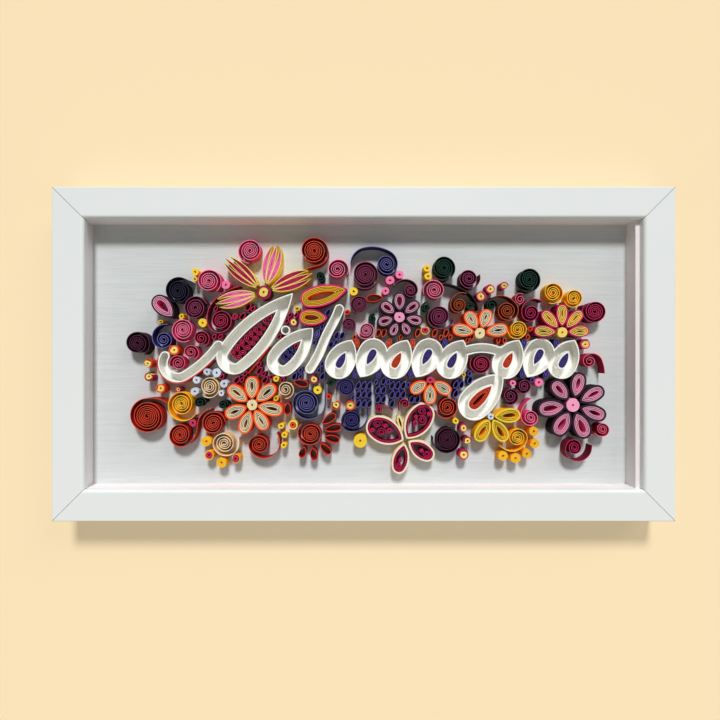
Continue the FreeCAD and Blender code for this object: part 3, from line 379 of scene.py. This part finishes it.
for wrap, inner, u, v, way, length, width, inside in SINGLES:
    petal(wrap, inner, (u, v), way, length, width, inside)

DROPS = [
    # group, tip u, tip v, way, length, width, loops
    ("red_drops", 10.6, 31.2, 184.0, 9.0, 3.8, 1),
    ("red_drops", -38.6, -14.9, -13.0, 8.2, 3.4, 1),
    ("red_drops", -41.5, -26.6, -95.0, 6.8, 3.6, 1),
    ("green_coils", -15.5, -13.6, 215.0, 5.6, 3.4, 2),
]
SUNBURST = (-29.6, -43.2)
SUNBURST_FOOT = 8.2
for way, reach in ((36, 17.4), (11, 17.6), (-15, 16.8), (-46, 16.2), (-80, 15.4), (-110, 14.6)):
    c, s = unit(way)
    DROPS.append(("red_drops", SUNBURST[0] + SUNBURST_FOOT * c, SUNBURST[1] + SUNBURST_FOOT * s,
                  way, reach - SUNBURST_FOOT, 3.6, 1))

for label, u, v, way, length, width, inside in DROPS:
    loops(label, (u, v), way, length, width, PAPER / 2, 0.75, inside)

# Butterfly

WINGS = [
    # tip u, tip v, way, length, width, curls as (along, across, radius)
    (21.9, -47.2, 154.0, 22.2, 13.2, [(16.4, -1.9, 2.6), (12.6, 1.5, 2.5),
                                      (17.6, 2.6, 1.3), (12.2, -2.6, 1.3), (9.2, -1.2, 1.5)]),
    (23.6, -46.4, 56.0, 22.4, 12.8, [(16.8, 1.8, 2.5), (13.0, -1.4, 2.4),
                                     (18.0, -2.4, 1.25), (12.6, 2.5, 1.25), (9.6, 1.1, 1.5)]),
    (22.4, -49.0, 257.0, 17.0, 7.8, [(12.8, 0.0, 1.8), (9.6, 0.0, 1.1)]),
    (24.7, -48.0, -34.0, 16.4, 8.4, [(11.9, 0.0, 2.1), (8.5, 0.0, 1.1)]),
]
for tip_u, tip_v, way, length, width, curls in WINGS:
    loops("butterfly_wing_edges", (tip_u, tip_v), way, length, width, 0.13, 0.27, 3, LOW, 66.0)
    loops("butterfly_wing_filling", (tip_u, tip_v), way, length, width, 1.05, 0.75, 2, LOW, 66.0)
    c, s = unit(way)
    for along, across, radius in curls:
        u, v = tip_u + along * c - across * s, tip_v + along * s + across * c
        lay("butterfly_wing_filling", coil_run(u, v, radius, way + 180, 1))
loops("butterfly_body", (21.5, -42.6), 106.0, 9.2, 2.0, 0.13, 0.3, 3)

# Loose coils

COILS = [
    # group, u, v, radius, angle of the outer end, hand, tail
    ("navy_coils", -101.6, 35.3, 7.1, 66, 1, [(0, 4.5)]),
    ("pink_coils", -84.8, 39.8, 6.6, 310, 1, []),
    ("pink_coils", -62.4, 56.3, 6.5, 262, -1, []),
    ("plum_coils", -92.1, 25.6, 6.3, 20, 1, []),
    ("crimson_coils", -77.9, 18.5, 5.3, 0, 1, [(6.6, 170), (14, 52), (26, 28), (40, 6)]),
    ("crimson_coils", -71.0, 20.9, 1.86, 200, 1, []),
    ("red_coils", -27.2, 56.2, 7.9, 282, 1, [(-44, 8)]),
    ("pink_coils", -13.9, 46.4, 5.7, 330, 1, []),
    ("green_coils", -24.0, 42.6, 2.7, 270, 1, []),
    ("plum_coils", 0.5, 43.4, 7.6, 240, 1, []),
    ("blue_coils", 13.2, 49.5, 5.6, 0, -1, [(8, 60), (20, 45), (9, 72)]),
    ("plum_coils", -2.4, 27.1, 4.9, 250, -1, []),
    ("plum_coils", -8.2, 16.0, 3.9, 300, 1, []),
    ("pink_coils", 0.9, 13.1, 4.8, 180, 1, []),
    ("green_coils", 5.1, 19.9, 2.5, 60, 1, []),
    ("plum_coils", 26.1, 35.2, 3.7, 355, -1, [(5.4, 60), (7.6, 92)]),
    ("green_coils", 43.8, 47.1, 6.6, 250, 1, []),
    ("pink_coils", 38.3, 35.0, 5.8, 200, -1, []),
    ("plum_coils", 58.4, 41.9, 5.8, 20, -1, []),
    ("brown_coils", 51.8, 27.0, 4.1, 190, 1, [(6.4, 122)]),
    ("green_coils", 34.6, 26.2, 2.6, 90, 1, []),
    ("plum_coils", 41.2, 20.2, 6.2, 250, -1, [(8.6, 86)]),
    ("green_coils", 58.8, 26.4, 2.2, 0, 1, []),
    ("green_coils", 70.7, 26.9, 3.0, 0, 1, []),
    ("brown_coils", 79.4, 24.2, 5.7, 30, -1, [(10.5, 88)]),
    ("green_coils", 90.5, 40.7, 6.6, 230, 1, []),
    ("rose_coils", 86.2, 30.6, 3.0, 60, 1, []),
    ("magenta_coils", 91.4, 22.6, 4.6, 200, 1, [(7.0, 150)]),
    ("yellow_coils", 103.8, 33.4, 5.7, 250, 1, []),
    ("yellow_coils", 114.9, 30.8, 5.1, 200, 1, []),
    ("magenta_coils", 126.5, 23.9, 6.5, 150, 1, []),
    ("yellow_coils", 84.2, 13.7, 5.3, 180, 1, []),
    ("dark_plum_coils", -124.2, 5.6, 6.7, 300, 1, []),
    ("blue_coils", -109.7, 7.6, 4.2, 300, 1, [(5.6, 100), (7, 108), (0, 2)]),
    ("pink_coils", -99.0, 12.9, 6.3, 300, -1, []),
    ("crimson_coils", -89.1, 8.3, 4.4, 290, 1, []),
    ("rose_coils", -94.8, 0.7, 4.2, 300, 1, []),
    ("rose_coils", -102.4, -5.0, 4.3, 200, -1, []),
    ("cream_coils", -85.0, -18.4, 5.7, 240, 1, []),
    ("green_coils", -89.7, -26.6, 3.1, 0, 1, []),
    ("green_coils", -77.0, -27.9, 2.6, 0, 1, []),
    ("yellow_coils", -100.5, -26.9, 6.2, 128, -1, [(8.1, 196)]),
    ("red_coils", -118.9, -33.5, 9.4, 96, 1, [(0, 2), (14, 34), (0, 2.5)]),
    ("red_coils", -100.5, -44.7, 6.3, 300, -1, [(12, 60), (-10, 75)]),
    ("red_coils", -82.2, -37.9, 6.3, 10, 1, []),
    ("cream_coils", -77.2, -49.2, 5.7, 200, -1, [(7.2, 166), (0, 2)]),
    ("red_coils", -57.9, -50.0, 5.4, 207, -1, [(8.7, 190)]),
    ("cream_coils", -43.0, -19.9, 4.58, 270, 1, []),
    ("blue_coils", -32.1, -26.9, 7.0, 180, -1, [(8.8, 178), (0, 7), (50, 6)]),
    ("purple_coils", -10.2, -18.5, 5.2, 200, -1, []),
    ("purple_coils", -6.8, -36.8, 5.7, 250, -1, [(8.0, 104), (0, 5)]),
    ("red_coils", -29.6, -43.2, 6.7, 130, 1, []),
    ("crimson_coils", 64.0, -5.0, 5.65, 150, 1, []),
    ("red_coils", 45.4, -29.3, 6.0, 200, 1, []),
    ("dark_plum_coils", 45.5, -46.8, 7.6, 170, 1, []),
    ("plum_coils", 87.7, -17.6, 4.1, 200, 1, []),
    ("plum_coils", 80.4, -23.4, 4.6, 240, 1, []),
    ("rose_coils", 123.8, -3.6, 3.3, 140, 1, [(5.6, 118), (22, 20)]),
    ("pink_coils", 91.6, -35.2, 4.1, 260, 1, [(5.6, 90), (12, 50)]),
    ("rose_coils", 131.2, -41.6, 3.7, 270, 1, [(6, 48)]),
    ("magenta_coils", 115.3, -51.0, 4.2, 145, -1, [(6.3, 100), (7.6, 108), (0, 2)]),
    ("yellow_coils", 85.0, -46.0, 5.0, 343, 1, [(8.4, 126)]),
    ("crimson_coils", 22.2, -27.2, 2.7, 180, -1, [(0, 4.0)]),
    ("crimson_coils", 8.7, -29.8, 2.2, 90, 1, [(8, 50), (0, 2)]),
]

for label, u, v, radius, end, hand, tail in COILS:
    lay(label, coil_run(u, v, radius, end, hand, tail))

# Tight rolls

RINGS = [
    # group, u, v, radius
    ("yellow_rings", -92.7, 45.2, 2.0), ("yellow_rings", -92.8, 41.2, 1.37),
    ("yellow_rings", -99.9, 20.8, 1.5), ("yellow_rings", -111.6, 17.6, 1.19),
    ("yellow_rings", -88.6, 17.2, 2.39), ("yellow_rings", -36.6, 24.8, 1.6),
    ("yellow_rings", -5.4, 34.6, 2.3), ("yellow_rings", 34.9, 47.4, 2.0),
    ("yellow_rings", 35.4, 43.0, 2.0), ("yellow_rings", -48.0, -13.6, 1.7),
    ("yellow_rings", -48.4, -24.2, 1.57), ("yellow_rings", -25.3, -19.6, 2.3),
    ("yellow_rings", -45.4, -39.3, 1.7), ("yellow_rings", -43.5, -44.3, 1.7),
    ("yellow_rings", -43.8, -50.1, 1.7), ("yellow_rings", -1.7, -47.6, 3.8),
    ("yellow_rings", 50.5, -36.8, 1.7), ("yellow_rings", 55.2, -11.0, 1.18),
    ("amber_rings", -86.4, -48.0, 2.8), ("amber_rings", -78.0, -59.5, 2.8),
    ("amber_rings", 93.6, -42.3, 2.6), ("amber_rings", 93.9, -49.0, 2.6),
    ("amber_rings", 89.8, -54.7, 2.6), ("amber_rings", 83.5, -57.0, 2.8),
    ("amber_rings", 76.6, -56.0, 2.7),
    ("pink_rings", 14.5, 40.5, 2.4), ("pink_rings", 19.7, 43.6, 2.3),
    ("pink_rings", 11.9, 34.8, 2.1), ("pink_rings", 82.0, -16.0, 1.67),
    ("pink_rings", 96.3, -15.6, 2.3), ("pink_rings", -75.8, 38.2, 2.4),
    ("crimson_coils", -94.0, -37.8, 2.1), ("red_drops", -8.9, 22.9, 1.6),
    ("red_drops", -19.3, -23.3, 1.57), ("red_drops", 91.4, 14.1, 1.6),
    ("white_beads", -86.3, -9.8, 1.91), ("white_beads", -80.9, -10.2, 2.4),
    ("white_beads", -91.8, -14.1, 2.02), ("white_beads", -76.6, -16.3, 2.2),
    ("white_beads", -92.8, -20.6, 2.2), ("white_beads", -78.1, -21.4, 1.67),
]

for label, u, v, radius in RINGS:
    roll(label, u, v, radius)

WRAPPED = [
    # core, wrap, u, v, radius
    ("yellow_cores", "orange_ring_wraps", -104.2, 2.4, 2.9),
    ("yellow_cores", "orange_ring_wraps", -118.6, -5.0, 2.5),
    ("yellow_cores", "magenta_ring_wraps", -117.9, -12.4, 2.5),
    ("yellow_cores", "magenta_ring_wraps", -102.0, -19.3, 1.4),
    ("yellow_cores", "orange_ring_wraps", -111.6, -18.7, 2.6),
    ("yellow_cores", "magenta_ring_wraps", -38.4, 17.6, 2.4),
    ("yellow_cores", "magenta_ring_wraps", 64.6, 31.8, 2.8),
    ("yellow_cores", "magenta_ring_wraps", 69.6, 35.9, 2.6),
    ("yellow_cores", "magenta_ring_wraps", 77.3, 37.5, 2.3),
    ("yellow_cores", "magenta_ring_wraps", 121.8, 5.6, 2.8),
    ("yellow_cores", "magenta_ring_wraps", 55.1, -40.6, 2.5),
    ("yellow_cores", "magenta_ring_wraps", 55.1, -55.2, 2.9),
    ("yellow_cores", "magenta_ring_wraps", -27.2, -13.8, 2.4),
    ("yellow_cores", "magenta_ring_wraps", 57.0, -47.6, 2.4),
    ("yellow_cores", "orange_ring_wraps", -15.3, -27.9, 2.5),
    ("yellow_cores", "orange_ring_wraps", -7.4, -28.1, 2.7),
    ("magenta_ring_wraps", "yellow_cores", 33.9, 13.4, 2.5),
    ("orange_ring_wraps", "yellow_cores", -38.8, -38.8, 2.6),
    ("magenta_ring_wraps", "amber_rings", -84.8, -55.5, 2.7),
    ("magenta_ring_wraps", "amber_rings", -70.5, -57.3, 2.55),
]

for core, wrap, u, v, radius in WRAPPED:
    inside = 0.7 * radius
    roll(core, u, v, inside)
    roll(wrap, u, v, radius, inside)

for obj in (*known.values(), *edges.values()):
    bpy.data.objects.remove(obj, do_unlink=True)

# Each group of strips is joined, given the paper's thickness and shaded

pieces = {}
for label, strips in groups.items():
    for strip in strips:
        bpy.context.collection.objects.link(strip)
    bpy.ops.object.select_all(action="DESELECT")
    for strip in strips:
        strip.select_set(True)
    bpy.context.view_layer.objects.active = strips[0]
    if len(strips) > 1:
        bpy.ops.object.join()
    obj = bpy.context.view_layer.objects.active
    obj.name = obj.data.name = label + "_wound"
    only(obj)
    thick = obj.modifiers.new("paper", "SOLIDIFY")
    thick.thickness = PAPER * MM
    thick.offset = 0.0
    bpy.ops.object.modifier_apply(modifier=thick.name)
    bpy.ops.object.shade_smooth_by_angle(angle=math.radians(40))
    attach(obj, "root")
    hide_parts(label)
    pieces[label] = obj

# Finishes

def shader_group(name, sockets):
    """An empty node group with the inputs that its materials set and three outputs."""
    tree = bpy.data.node_groups.new(name, "ShaderNodeTree")
    for label, kind, value in sockets:
        socket = tree.interface.new_socket(name=label, in_out="INPUT", socket_type=kind)
        socket.default_value = value
    tree.interface.new_socket(name="Base Color", in_out="OUTPUT", socket_type="NodeSocketColor")
    tree.interface.new_socket(name="Roughness", in_out="OUTPUT", socket_type="NodeSocketFloat")
    tree.interface.new_socket(name="Normal", in_out="OUTPUT", socket_type="NodeSocketVector")
    return tree


def node(tree, kind, inputs=(), **settings):
    """A new node; each input takes a value or a link from another node's output."""
    made = tree.nodes.new(kind)
    for key, value in settings.items():
        setattr(made, key, value)
    for key, value in dict(inputs).items():
        if isinstance(value, bpy.types.NodeSocket):
            tree.links.new(value, made.inputs[key])
        else:
            made.inputs[key].default_value = value
    return made


def figure(tree, kind, a, b=0.0):
    """The result of a Math node."""
    return node(tree, "ShaderNodeMath", {0: a, 1: b}, operation=kind).outputs[0]


def scaled(tree, colour, factor):
    """A colour times a factor."""
    return node(tree, "ShaderNodeVectorMath", {0: colour, "Scale": factor},
                operation="SCALE").outputs[0]


def blended(tree, share, first, second):
    """The first colour, or the second one where the share is 1."""
    return node(tree, "ShaderNodeMix", {"Factor": share, 6: first, 7: second},
                data_type="RGBA").outputs[2]


def put_out(tree, colour, roughness, normal):
    """Feeds the group's outputs."""
    out = node(tree, "NodeGroupOutput")
    tree.links.new(colour, out.inputs["Base Color"])
    tree.links.new(roughness, out.inputs["Roughness"])
    tree.links.new(normal, out.inputs["Normal"])
    return tree


def paper_group():
    """Coloured paper: fibres in the wall's tone, and a painted highlight: a paler colour on the cut
    edges that face the front.
    """
    tree = shader_group("paper_finish", [
        ("Wall", "NodeSocketColor", (0.5, 0.5, 0.5, 1)),
        ("Edge", "NodeSocketColor", (0.6, 0.6, 0.6, 1)),
        ("Mottle", "NodeSocketFloat", 0.12),
        ("Roughness", "NodeSocketFloat", 0.75)])
    given = node(tree, "NodeGroupInput").outputs
    place = node(tree, "ShaderNodeTexCoord").outputs
    fibre = node(tree, "ShaderNodeTexNoise",
                 {"Vector": place["Object"], "Scale": 2400.0, "Detail": 3.0}).outputs["Fac"]
    patch = node(tree, "ShaderNodeTexNoise",
                 {"Vector": place["Object"], "Scale": 160.0, "Detail": 2.0}).outputs["Fac"]
    uneven = figure(tree, "ADD", figure(tree, "ADD", fibre, patch), -1.0)
    tone = figure(tree, "ADD", figure(tree, "MULTIPLY", uneven, given["Mottle"]), 1.0)
    # Painted highlight: faces that turn to the front take the paler edge colour.
    split = node(tree, "ShaderNodeSeparateXYZ", {"Vector": place["Normal"]})
    cut = node(tree, "ShaderNodeMapRange",
               {"Value": split.outputs["Y"], "From Min": -0.55, "From Max": -0.9}).outputs[0]
    mixed = blended(tree, cut, given["Wall"], given["Edge"])
    bump = node(tree, "ShaderNodeBump", {"Height": fibre, "Strength": 0.25, "Distance": 0.00004})
    return put_out(tree, scaled(tree, mixed, tone), given["Roughness"], bump.outputs[0])


def board_group():
    """A flat tone with a grain stretched along X and a little relief."""
    tree = shader_group("board_finish", [
        ("Tone", "NodeSocketColor", (0.8, 0.8, 0.8, 1)),
        ("Grain", "NodeSocketFloat", 0.05),
        ("Grain Size", "NodeSocketFloat", 900.0),
        ("Stretch", "NodeSocketFloat", 0.1),
        ("Relief", "NodeSocketFloat", 0.1),
        ("Roughness", "NodeSocketFloat", 0.6)])
    given = node(tree, "NodeGroupInput").outputs
    place = node(tree, "ShaderNodeTexCoord").outputs["Object"]
    scale = node(tree, "ShaderNodeCombineXYZ", {"X": given["Stretch"], "Y": 1.0, "Z": 1.0})
    drawn = node(tree, "ShaderNodeVectorMath", {0: place, 1: scale.outputs[0]},
                 operation="MULTIPLY")
    grain = node(tree, "ShaderNodeTexNoise",
                 {"Vector": drawn.outputs[0], "Scale": given["Grain Size"], "Detail": 4.0,
                  "Roughness": 0.6}).outputs["Fac"]
    uneven = figure(tree, "ADD", grain, -0.5)
    tone = figure(tree, "ADD", figure(tree, "MULTIPLY", uneven, given["Grain"]), 1.0)
    bump = node(tree, "ShaderNodeBump",
                {"Height": grain, "Strength": given["Relief"], "Distance": 0.0002})
    return put_out(tree, scaled(tree, given["Tone"], tone), given["Roughness"], bump.outputs[0])


def lacquer_group():
    """White lacquer with a soft unevenness and the thin dark line of the mitred corners."""
    tree = shader_group("lacquer_finish", [
        ("Tone", "NodeSocketColor", (0.8, 0.8, 0.8, 1)),
        ("Joint", "NodeSocketColor", (0.2, 0.2, 0.2, 1)),
        ("Half Length", "NodeSocketFloat", 0.167),
        ("Half Height", "NodeSocketFloat", 0.09),
        ("Joint Width", "NodeSocketFloat", 0.00016),
        ("Roughness", "NodeSocketFloat", 0.4)])
    given = node(tree, "NodeGroupInput").outputs
    place = node(tree, "ShaderNodeTexCoord").outputs["Object"]
    split = node(tree, "ShaderNodeSeparateXYZ", {"Vector": place})
    across = figure(tree, "ABSOLUTE", split.outputs["X"])
    from_end = figure(tree, "SUBTRACT", given["Half Length"], across)
    up = figure(tree, "SUBTRACT", split.outputs["Z"], given["Half Height"])
    from_side = figure(tree, "SUBTRACT", given["Half Height"], figure(tree, "ABSOLUTE", up))
    apart = figure(tree, "ABSOLUTE", figure(tree, "SUBTRACT", from_end, from_side))
    joint = figure(tree, "LESS_THAN", apart, given["Joint Width"])
    mixed = blended(tree, joint, given["Tone"], given["Joint"])
    swell = node(tree, "ShaderNodeTexNoise", {"Vector": place, "Scale": 420.0, "Detail": 3.0})
    bump = node(tree, "ShaderNodeBump",
                {"Height": swell.outputs["Fac"], "Strength": 0.05, "Distance": 0.0002})
    return put_out(tree, mixed, given["Roughness"], bump.outputs[0])


PAPER_FINISH = paper_group()
BOARD_FINISH = board_group()


def material(name, group, values, **constants):
    """A material of a finish group with its own values; constants go to the shader."""
    made = bpy.data.materials.new(name)
    made.use_nodes = True
    tree = made.node_tree
    shader = tree.nodes["Principled BSDF"]
    for key, value in constants.items():
        shader.inputs[key.replace("_", " ")].default_value = value
    finish = node(tree, "ShaderNodeGroup", node_tree=group)
    for key, value in values.items():
        finish.inputs[key].default_value = value
    for key in ("Base Color", "Roughness", "Normal"):
        tree.links.new(finish.outputs[key], shader.inputs[key])
    return made


def paint(obj, made):
    """Gives an object the material in each of its slots."""
    for slot in obj.material_slots:
        slot.material = made
    if not obj.material_slots:
        obj.data.materials.append(made)


PAPERS = [
    # group, wall colour, edge colour (a painted highlight on the front-facing edges)
    ("navy_coils", (18, 15, 34), (50, 46, 76)),
    ("pink_coils", (246, 74, 134), (255, 142, 180)),
    ("plum_coils", (104, 18, 54), (160, 66, 106)),
    ("dark_plum_coils", (46, 10, 30), (94, 44, 70)),
    ("crimson_coils", (158, 14, 58), (210, 60, 100)),
    ("red_coils", (196, 34, 22), (236, 84, 58)),
    ("green_coils", (8, 32, 26), (34, 72, 60)),
    ("blue_coils", (60, 54, 128), (116, 112, 184)),
    ("brown_coils", (150, 50, 20), (200, 90, 48)),
    ("rose_coils", (214, 36, 84), (246, 108, 142)),
    ("magenta_coils", (150, 10, 58), (206, 52, 104)),
    ("yellow_coils", (255, 178, 0), (255, 222, 70)),
    ("cream_coils", (240, 200, 140), (255, 240, 204)),
    ("purple_coils", (46, 36, 104), (84, 74, 152)),
    ("red_drops", (204, 34, 16), (238, 72, 42)),
    ("purple_drops", (50, 38, 112), (98, 86, 168)),
    ("crimson_filling", (160, 14, 58), (206, 44, 88)),
    ("purple_filling", (44, 32, 98), (84, 72, 150)),
    ("orange_filling", (204, 42, 20), (238, 84, 48)),
    ("black_petal_wraps", (30, 12, 24), (52, 28, 44)),
    ("pink_petal_loops", (238, 104, 160), (255, 186, 218)),
    ("pink_flower_centres", (248, 136, 182), (255, 170, 206)),
    ("orange_petal_wraps", (244, 72, 18), (255, 104, 40)),
    ("cream_petal_loops", (240, 206, 136), (255, 250, 220)),
    ("cream_flower_centres", (246, 220, 160), (255, 236, 184)),
    ("magenta_wraps", (184, 12, 76), (216, 36, 104)),
    ("orange_leaf_loops", (255, 150, 0), (255, 214, 66)),
    ("yellow_petal_loops", (255, 186, 20), (255, 236, 120)),
    ("yellow_flower_centres", (255, 212, 84), (255, 228, 116)),
    ("golden_petal_loops", (255, 184, 0), (255, 228, 70)),
    ("leaf_flower_edges", (255, 216, 88), (255, 232, 124)),
    ("leaf_flower_loops", (128, 8, 44), (172, 32, 76)),
    ("leaf_flower_orchid_loops", (204, 62, 122), (236, 112, 162)),
    ("butterfly_wing_edges", (252, 230, 186), (255, 242, 208)),
    ("butterfly_wing_filling", (164, 8, 60), (214, 40, 98)),
    ("butterfly_body", (236, 206, 130), (246, 220, 150)),
    ("yellow_rings", (255, 196, 20), (255, 216, 56)),
    ("amber_rings", (255, 172, 10), (255, 196, 44)),
    ("pink_rings", (246, 96, 154), (255, 132, 180)),
    ("white_beads", (206, 218, 236), (222, 230, 244)),
    ("yellow_cores", (255, 218, 92), (255, 232, 124)),
    ("orange_ring_wraps", (230, 62, 22), (248, 92, 44)),
    ("magenta_ring_wraps", (186, 16, 80), (220, 44, 108)),
    ("white_leaf_ribbon", (246, 245, 236), (254, 253, 246)),
    ("white_ribbon_floor", (250, 250, 246), (250, 250, 246)),
    ("dark_scroll_strips", (40, 28, 34), (54, 40, 44)),
    ("red_scroll_strips", (206, 48, 30), (228, 72, 46)),
]
for label, wall, edge in PAPERS:
    # Painted shade between the windings: each wall colour is darkened, dark paper the most.
    deep = srgb(*wall)
    painted_shade = min(1.0, 0.47 + 1.3 * (0.3 * deep[0] + 0.7 * deep[1]))
    made = material(label + "_paper", PAPER_FINISH,
                    {"Wall": tuple(painted_shade * x for x in deep[:3]) + (1.0,), "Edge": srgb(*edge)},
                    Specular_IOR_Level=0.2)
    paint(pieces.get(label, nodes[label]), made)

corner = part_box("frame_bottom_rail")[1]
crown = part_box("frame_top_rail")[1]
white_paint = material("white_paint", lacquer_group(),
                       {"Tone": srgb(234, 238, 237), "Joint": srgb(96, 96, 98),
                        "Half Length": corner[0], "Half Height": crown[2] / 2,
                        "Roughness": 0.4}, Specular_IOR_Level=0.4)
liner_board = material("liner_board", BOARD_FINISH,
                       {"Tone": srgb(242, 236, 236), "Grain": 0.02, "Roughness": 0.8})
card_board = material("card_board", BOARD_FINISH,
                      {"Tone": srgb(208, 212, 212), "Grain": 0.22, "Grain Size": 700.0,
                       "Stretch": 0.06, "Relief": 0.6, "Roughness": 0.85})
back_fibre = material("back_fibre", BOARD_FINISH,
                      {"Tone": srgb(146, 108, 74), "Grain": 0.35, "Grain Size": 900.0,
                       "Stretch": 0.6, "Relief": 0.3, "Roughness": 0.8})
zinc = material("zinc", BOARD_FINISH,
                {"Tone": srgb(196, 198, 202), "Grain": 0.08, "Grain Size": 1500.0,
                 "Stretch": 0.2, "Relief": 0.1, "Roughness": 0.38}, Metallic=1.0)
for name in ("frame_top_rail", "frame_bottom_rail", "frame_left_stile", "frame_right_stile"):
    paint(nodes[name], white_paint)
    soft = nodes[name].modifiers.new("eased_edges", "BEVEL")
    soft.width = 0.22 * MM
    soft.segments = 2
    soft.limit_method = "ANGLE"
    soft.angle_limit = math.radians(30)
for name in ("liner_top", "liner_bottom", "liner_left", "liner_right"):
    paint(nodes[name], liner_board)
paint(nodes["backing_card"], card_board)
paint(nodes["back_board"], back_fibre)
for name in ("retaining_points", "sawtooth_hanger", "hanger_nails"):
    paint(nodes[name], zinc)

# Wall and floor

def plane(name, length, place, turn):
    """A flat backdrop that isn't part of the object."""
    bpy.ops.object.select_all(action="DESELECT")
    bpy.ops.mesh.primitive_plane_add(size=length, location=place, rotation=turn)
    made = bpy.context.active_object
    made.name = name
    made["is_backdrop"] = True
    return made


WALL_GAP = 0.0004
WALL_SIZE = 6.0
FLOOR_SIZE = 8.0
FLOOR_DROP = 0.45
SEEN_CREAM = (0.62, 0.50, 0.32, 1.0)
GLOW_CREAM = (0.37, 0.295, 0.185, 1.0)
BOUNCED_GREY = (0.36, 0.35, 0.33, 1.0)

back_of_frame = size_lines["before"][1][1]
wall = plane("wall", WALL_SIZE, (0, back_of_frame + WALL_GAP, 1.0), (math.radians(90), 0, 0))
floor = plane("floor", FLOOR_SIZE, (0, 0, -FLOOR_DROP), (0, 0, 0))

# The cream is what the camera, the gloss and clear things see; the light that the wall throws
# back on the object is grey, so that the white frame stays white.
cream = bpy.data.materials.new("cream_wall")
cream.use_nodes = True
tree = cream.node_tree
shader = tree.nodes["Principled BSDF"]
shader.inputs["Roughness"].default_value = 0.95
shader.inputs["Specular IOR Level"].default_value = 0.1
rays = node(tree, "ShaderNodeLightPath").outputs
seen = figure(tree, "MAXIMUM", rays["Is Camera Ray"], rays["Is Glossy Ray"])
shown = figure(tree, "MAXIMUM", seen, rays["Is Transmission Ray"])
# From behind, and for the lamp on that side, the wall is clear.
behind = node(tree, "ShaderNodeNewGeometry").outputs["Backfacing"]
passed = figure(tree, "MAXIMUM", behind, rays["Is Shadow Ray"])
tone = blended(tree, shown, BOUNCED_GREY, SEEN_CREAM)
tree.links.new(tone, shader.inputs["Base Color"])
tree.links.new(shown, shader.inputs["Emission Strength"])
shader.inputs["Emission Color"].default_value = GLOW_CREAM
clear = node(tree, "ShaderNodeBsdfTransparent")
mix = node(tree, "ShaderNodeMixShader", {0: passed, 1: shader.outputs[0], 2: clear.outputs[0]})
tree.links.new(mix.outputs[0], tree.nodes["Material Output"].inputs["Surface"])
paint(wall, cream)
paint(floor, cream)

# Light and camera

def sun(name, toward, spread, power):
    """A distant soft box that shines from the given direction."""
    light = bpy.data.lights.new(name, "SUN")
    light.angle = math.radians(spread)
    light.energy = power
    made = bpy.data.objects.new(name, light)
    made.rotation_euler = Vector(toward).to_track_quat("Z", "Y").to_euler()
    bpy.context.scene.collection.objects.link(made)
    return made


sun("key", (0.04, -0.72, 0.70), 12, 2.8)
sun("side", (0.62, -0.50, 0.60), 28, 0.55)
sun("back", (-0.30, 0.85, 0.22), 25, 1.8)
world = bpy.data.worlds.new("soft_room")
bpy.context.scene.world = world
world.use_nodes = True
sky = world.node_tree.nodes["Background"].inputs
sky["Color"].default_value = (0.97, 0.98, 1.0, 1)
sky["Strength"].default_value = 0.1

# The camera looks straight at the wall, a little below the frame's middle.
camera = bpy.data.objects.new("camera", bpy.data.cameras.new("camera"))
bpy.context.scene.collection.objects.link(camera)
camera.location = (-0.00201, -0.2608, 0.08656)
camera.rotation_euler = (math.radians(90), 0, 0)
camera.data.sensor_width = 36.0
camera.data.lens = 23.32
camera.data.clip_start = 0.01
bpy.context.scene.camera = camera
bpy.context.scene.view_settings.view_transform = "Standard"

size_lines["after"] = [[float(x) for x in corner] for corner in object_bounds()]
